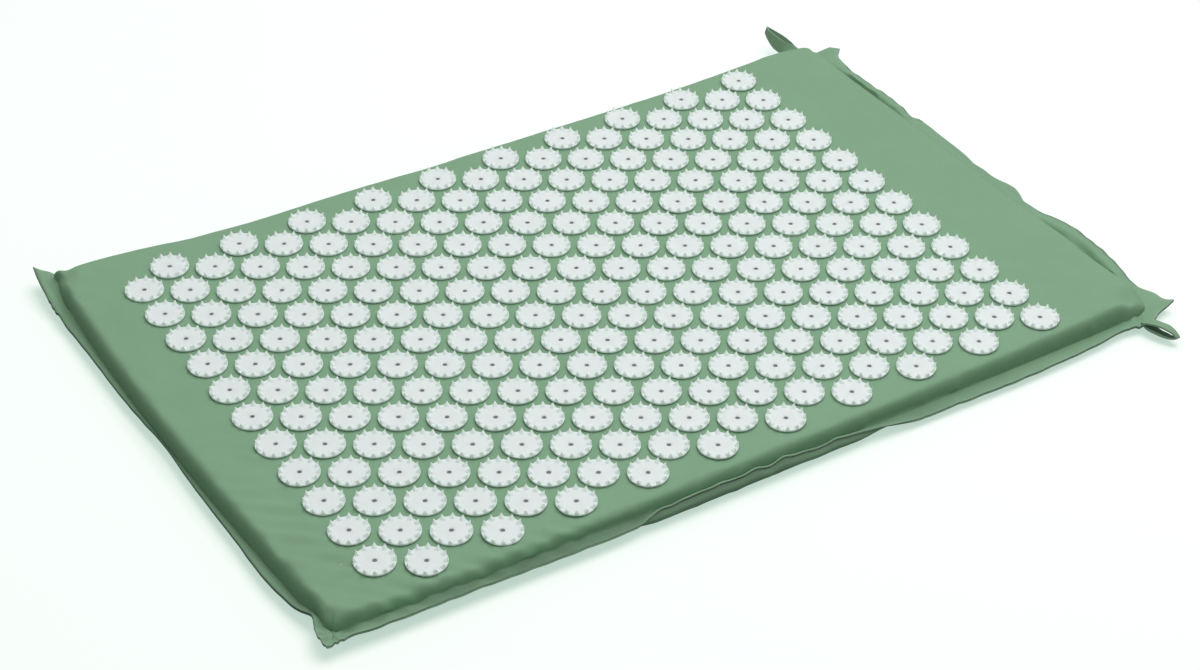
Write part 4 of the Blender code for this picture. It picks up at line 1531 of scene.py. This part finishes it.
class MAT_OT_stage(bpy.types.Operator):
    """Set up the floor, the soft lamps, the white surroundings and the camera"""

    bl_idname = "mat.stage"
    bl_label = "Stage"

    def execute(self, context):
        settings = context.scene.mat_stage
        self.floor(context)
        self.lamps(context, settings)
        self.surroundings(context, settings)
        self.camera(context, settings)
        context.scene.view_settings.view_transform = "Standard"
        return {"FINISHED"}

    def floor(self, context):
        """A plain pale floor that is white to the camera and keeps the mat's shadow."""
        bpy.ops.object.select_all(action="DESELECT")
        bpy.ops.mesh.primitive_plane_add(size=FLOOR_SIZE, location=(0, 0, FLOOR_Z))
        floor = context.object
        floor.name = "floor"
        finish = Finish("pale_floor", 1.0, Specular_IOR_Level=0.0, Emission_Strength=1.0)
        seen = finish.node("ShaderNodeLightPath", {}, {}, "Is Camera Ray")
        finish.colour(finish.mix(seen, FLOOR_BOUNCE, FLOOR_SEEN))
        # Painted light in the floor's shade, seen by the camera only
        glow = finish.mix(seen, (0.0, 0.0, 0.0), FLOOR_GLOW)
        finish.feed(finish.shader.inputs["Emission Color"], glow)
        floor.data.materials.append(finish.material)

    def lamps(self, context, settings):
        """One wide soft lamp overhead, towards the back of the mat's open end."""
        data = bpy.data.lights.new("overhead", "AREA")
        data.energy = settings.key
        data.size = settings.key_width
        lamp = bpy.data.objects.new("overhead", data)
        lamp.rotation_euler = (0.0, settings.key_tilt, settings.key_side)
        lamp.location = lamp.rotation_euler.to_matrix() @ Vector((0, 0, settings.key_distance))
        context.scene.collection.objects.link(lamp)

    def surroundings(self, context, settings):
        """White to the camera and to rays that pass through, and an even soft light on the mat."""
        world = bpy.data.worlds.new("white_room")
        context.scene.world = world
        nodes = Nodes(world)
        seen = nodes.node("ShaderNodeLightPath", {}, {}, "Is Camera Ray")
        passing = nodes.node("ShaderNodeLightPath", {}, {}, "Is Transmission Ray")
        values = {"Value": seen.maths("MAXIMUM", passing), "To Min": settings.sky, "To Max": 1.0}
        background = nodes.tree.nodes["Background"]
        nodes.feed(background.inputs["Color"], (1.0, 1.0, 1.0))
        nodes.feed(background.inputs["Strength"], nodes.node("ShaderNodeMapRange", {}, values))

    def camera(self, context, settings):
        """The photograph's viewpoint."""
        data = bpy.data.cameras.new("viewpoint")
        data.lens = settings.lens
        data.sensor_width = 36.0
        data.clip_end = 50.0
        camera = bpy.data.objects.new("viewpoint", data)
        camera.location = CAMERA_PLACE
        camera.rotation_euler = [math.radians(angle) for angle in CAMERA_TURN]
        context.scene.collection.objects.link(camera)
        context.scene.camera = camera


class MAT_PT_panel(bpy.types.Panel):
    """Buttons for each piece of the mat"""

    bl_idname = "MAT_PT_panel"
    bl_label = "Massage mat"
    bl_space_type = "VIEW_3D"
    bl_region_type = "UI"
    bl_category = "Massage mat"

    def draw(self, context):
        for operator in OPERATORS:
            self.layout.operator(operator.bl_idname)


SETTINGS = {
    "mat_cover": CoverSettings,
    "mat_mouth": MouthSettings,
    "mat_discs": DiscSettings,
    "mat_loops": LoopSettings,
    "mat_stage": StageSettings,
}
OPERATORS = (
    MAT_OT_cover_top,
    MAT_OT_mouth_flap,
    MAT_OT_cover_bottom,
    MAT_OT_foam,
    MAT_OT_tapes,
    MAT_OT_loops,
    MAT_OT_discs,
    MAT_OT_rivets,
    MAT_OT_stitching,
    MAT_OT_stage,
)


def register():
    """Make the settings, the operators and the panel known to Blender."""
    for name, group in SETTINGS.items():
        bpy.utils.register_class(group)
        setattr(bpy.types.Scene, name, bpy.props.PointerProperty(type=group))
    for operator in OPERATORS:
        bpy.utils.register_class(operator)
    bpy.utils.register_class(MAT_PT_panel)


def unregister():
    """Take the panel, the operators and the settings away again."""
    bpy.utils.unregister_class(MAT_PT_panel)
    for operator in reversed(OPERATORS):
        bpy.utils.unregister_class(operator)
    for name, group in SETTINGS.items():
        delattr(bpy.types.Scene, name)
        bpy.utils.unregister_class(group)


def main():
    """Model every piece of the mat and set up its stage."""
    register()
    bpy.ops.mat.cover_top()
    bpy.ops.mat.mouth_flap()
    bpy.ops.mat.cover_bottom()
    bpy.ops.mat.foam()
    bpy.ops.mat.tapes()
    bpy.ops.mat.loops()
    bpy.ops.mat.discs()
    bpy.ops.mat.rivets()
    bpy.ops.mat.stitching()
    bpy.ops.mat.stage()


if __name__ == "__main__":
    main()
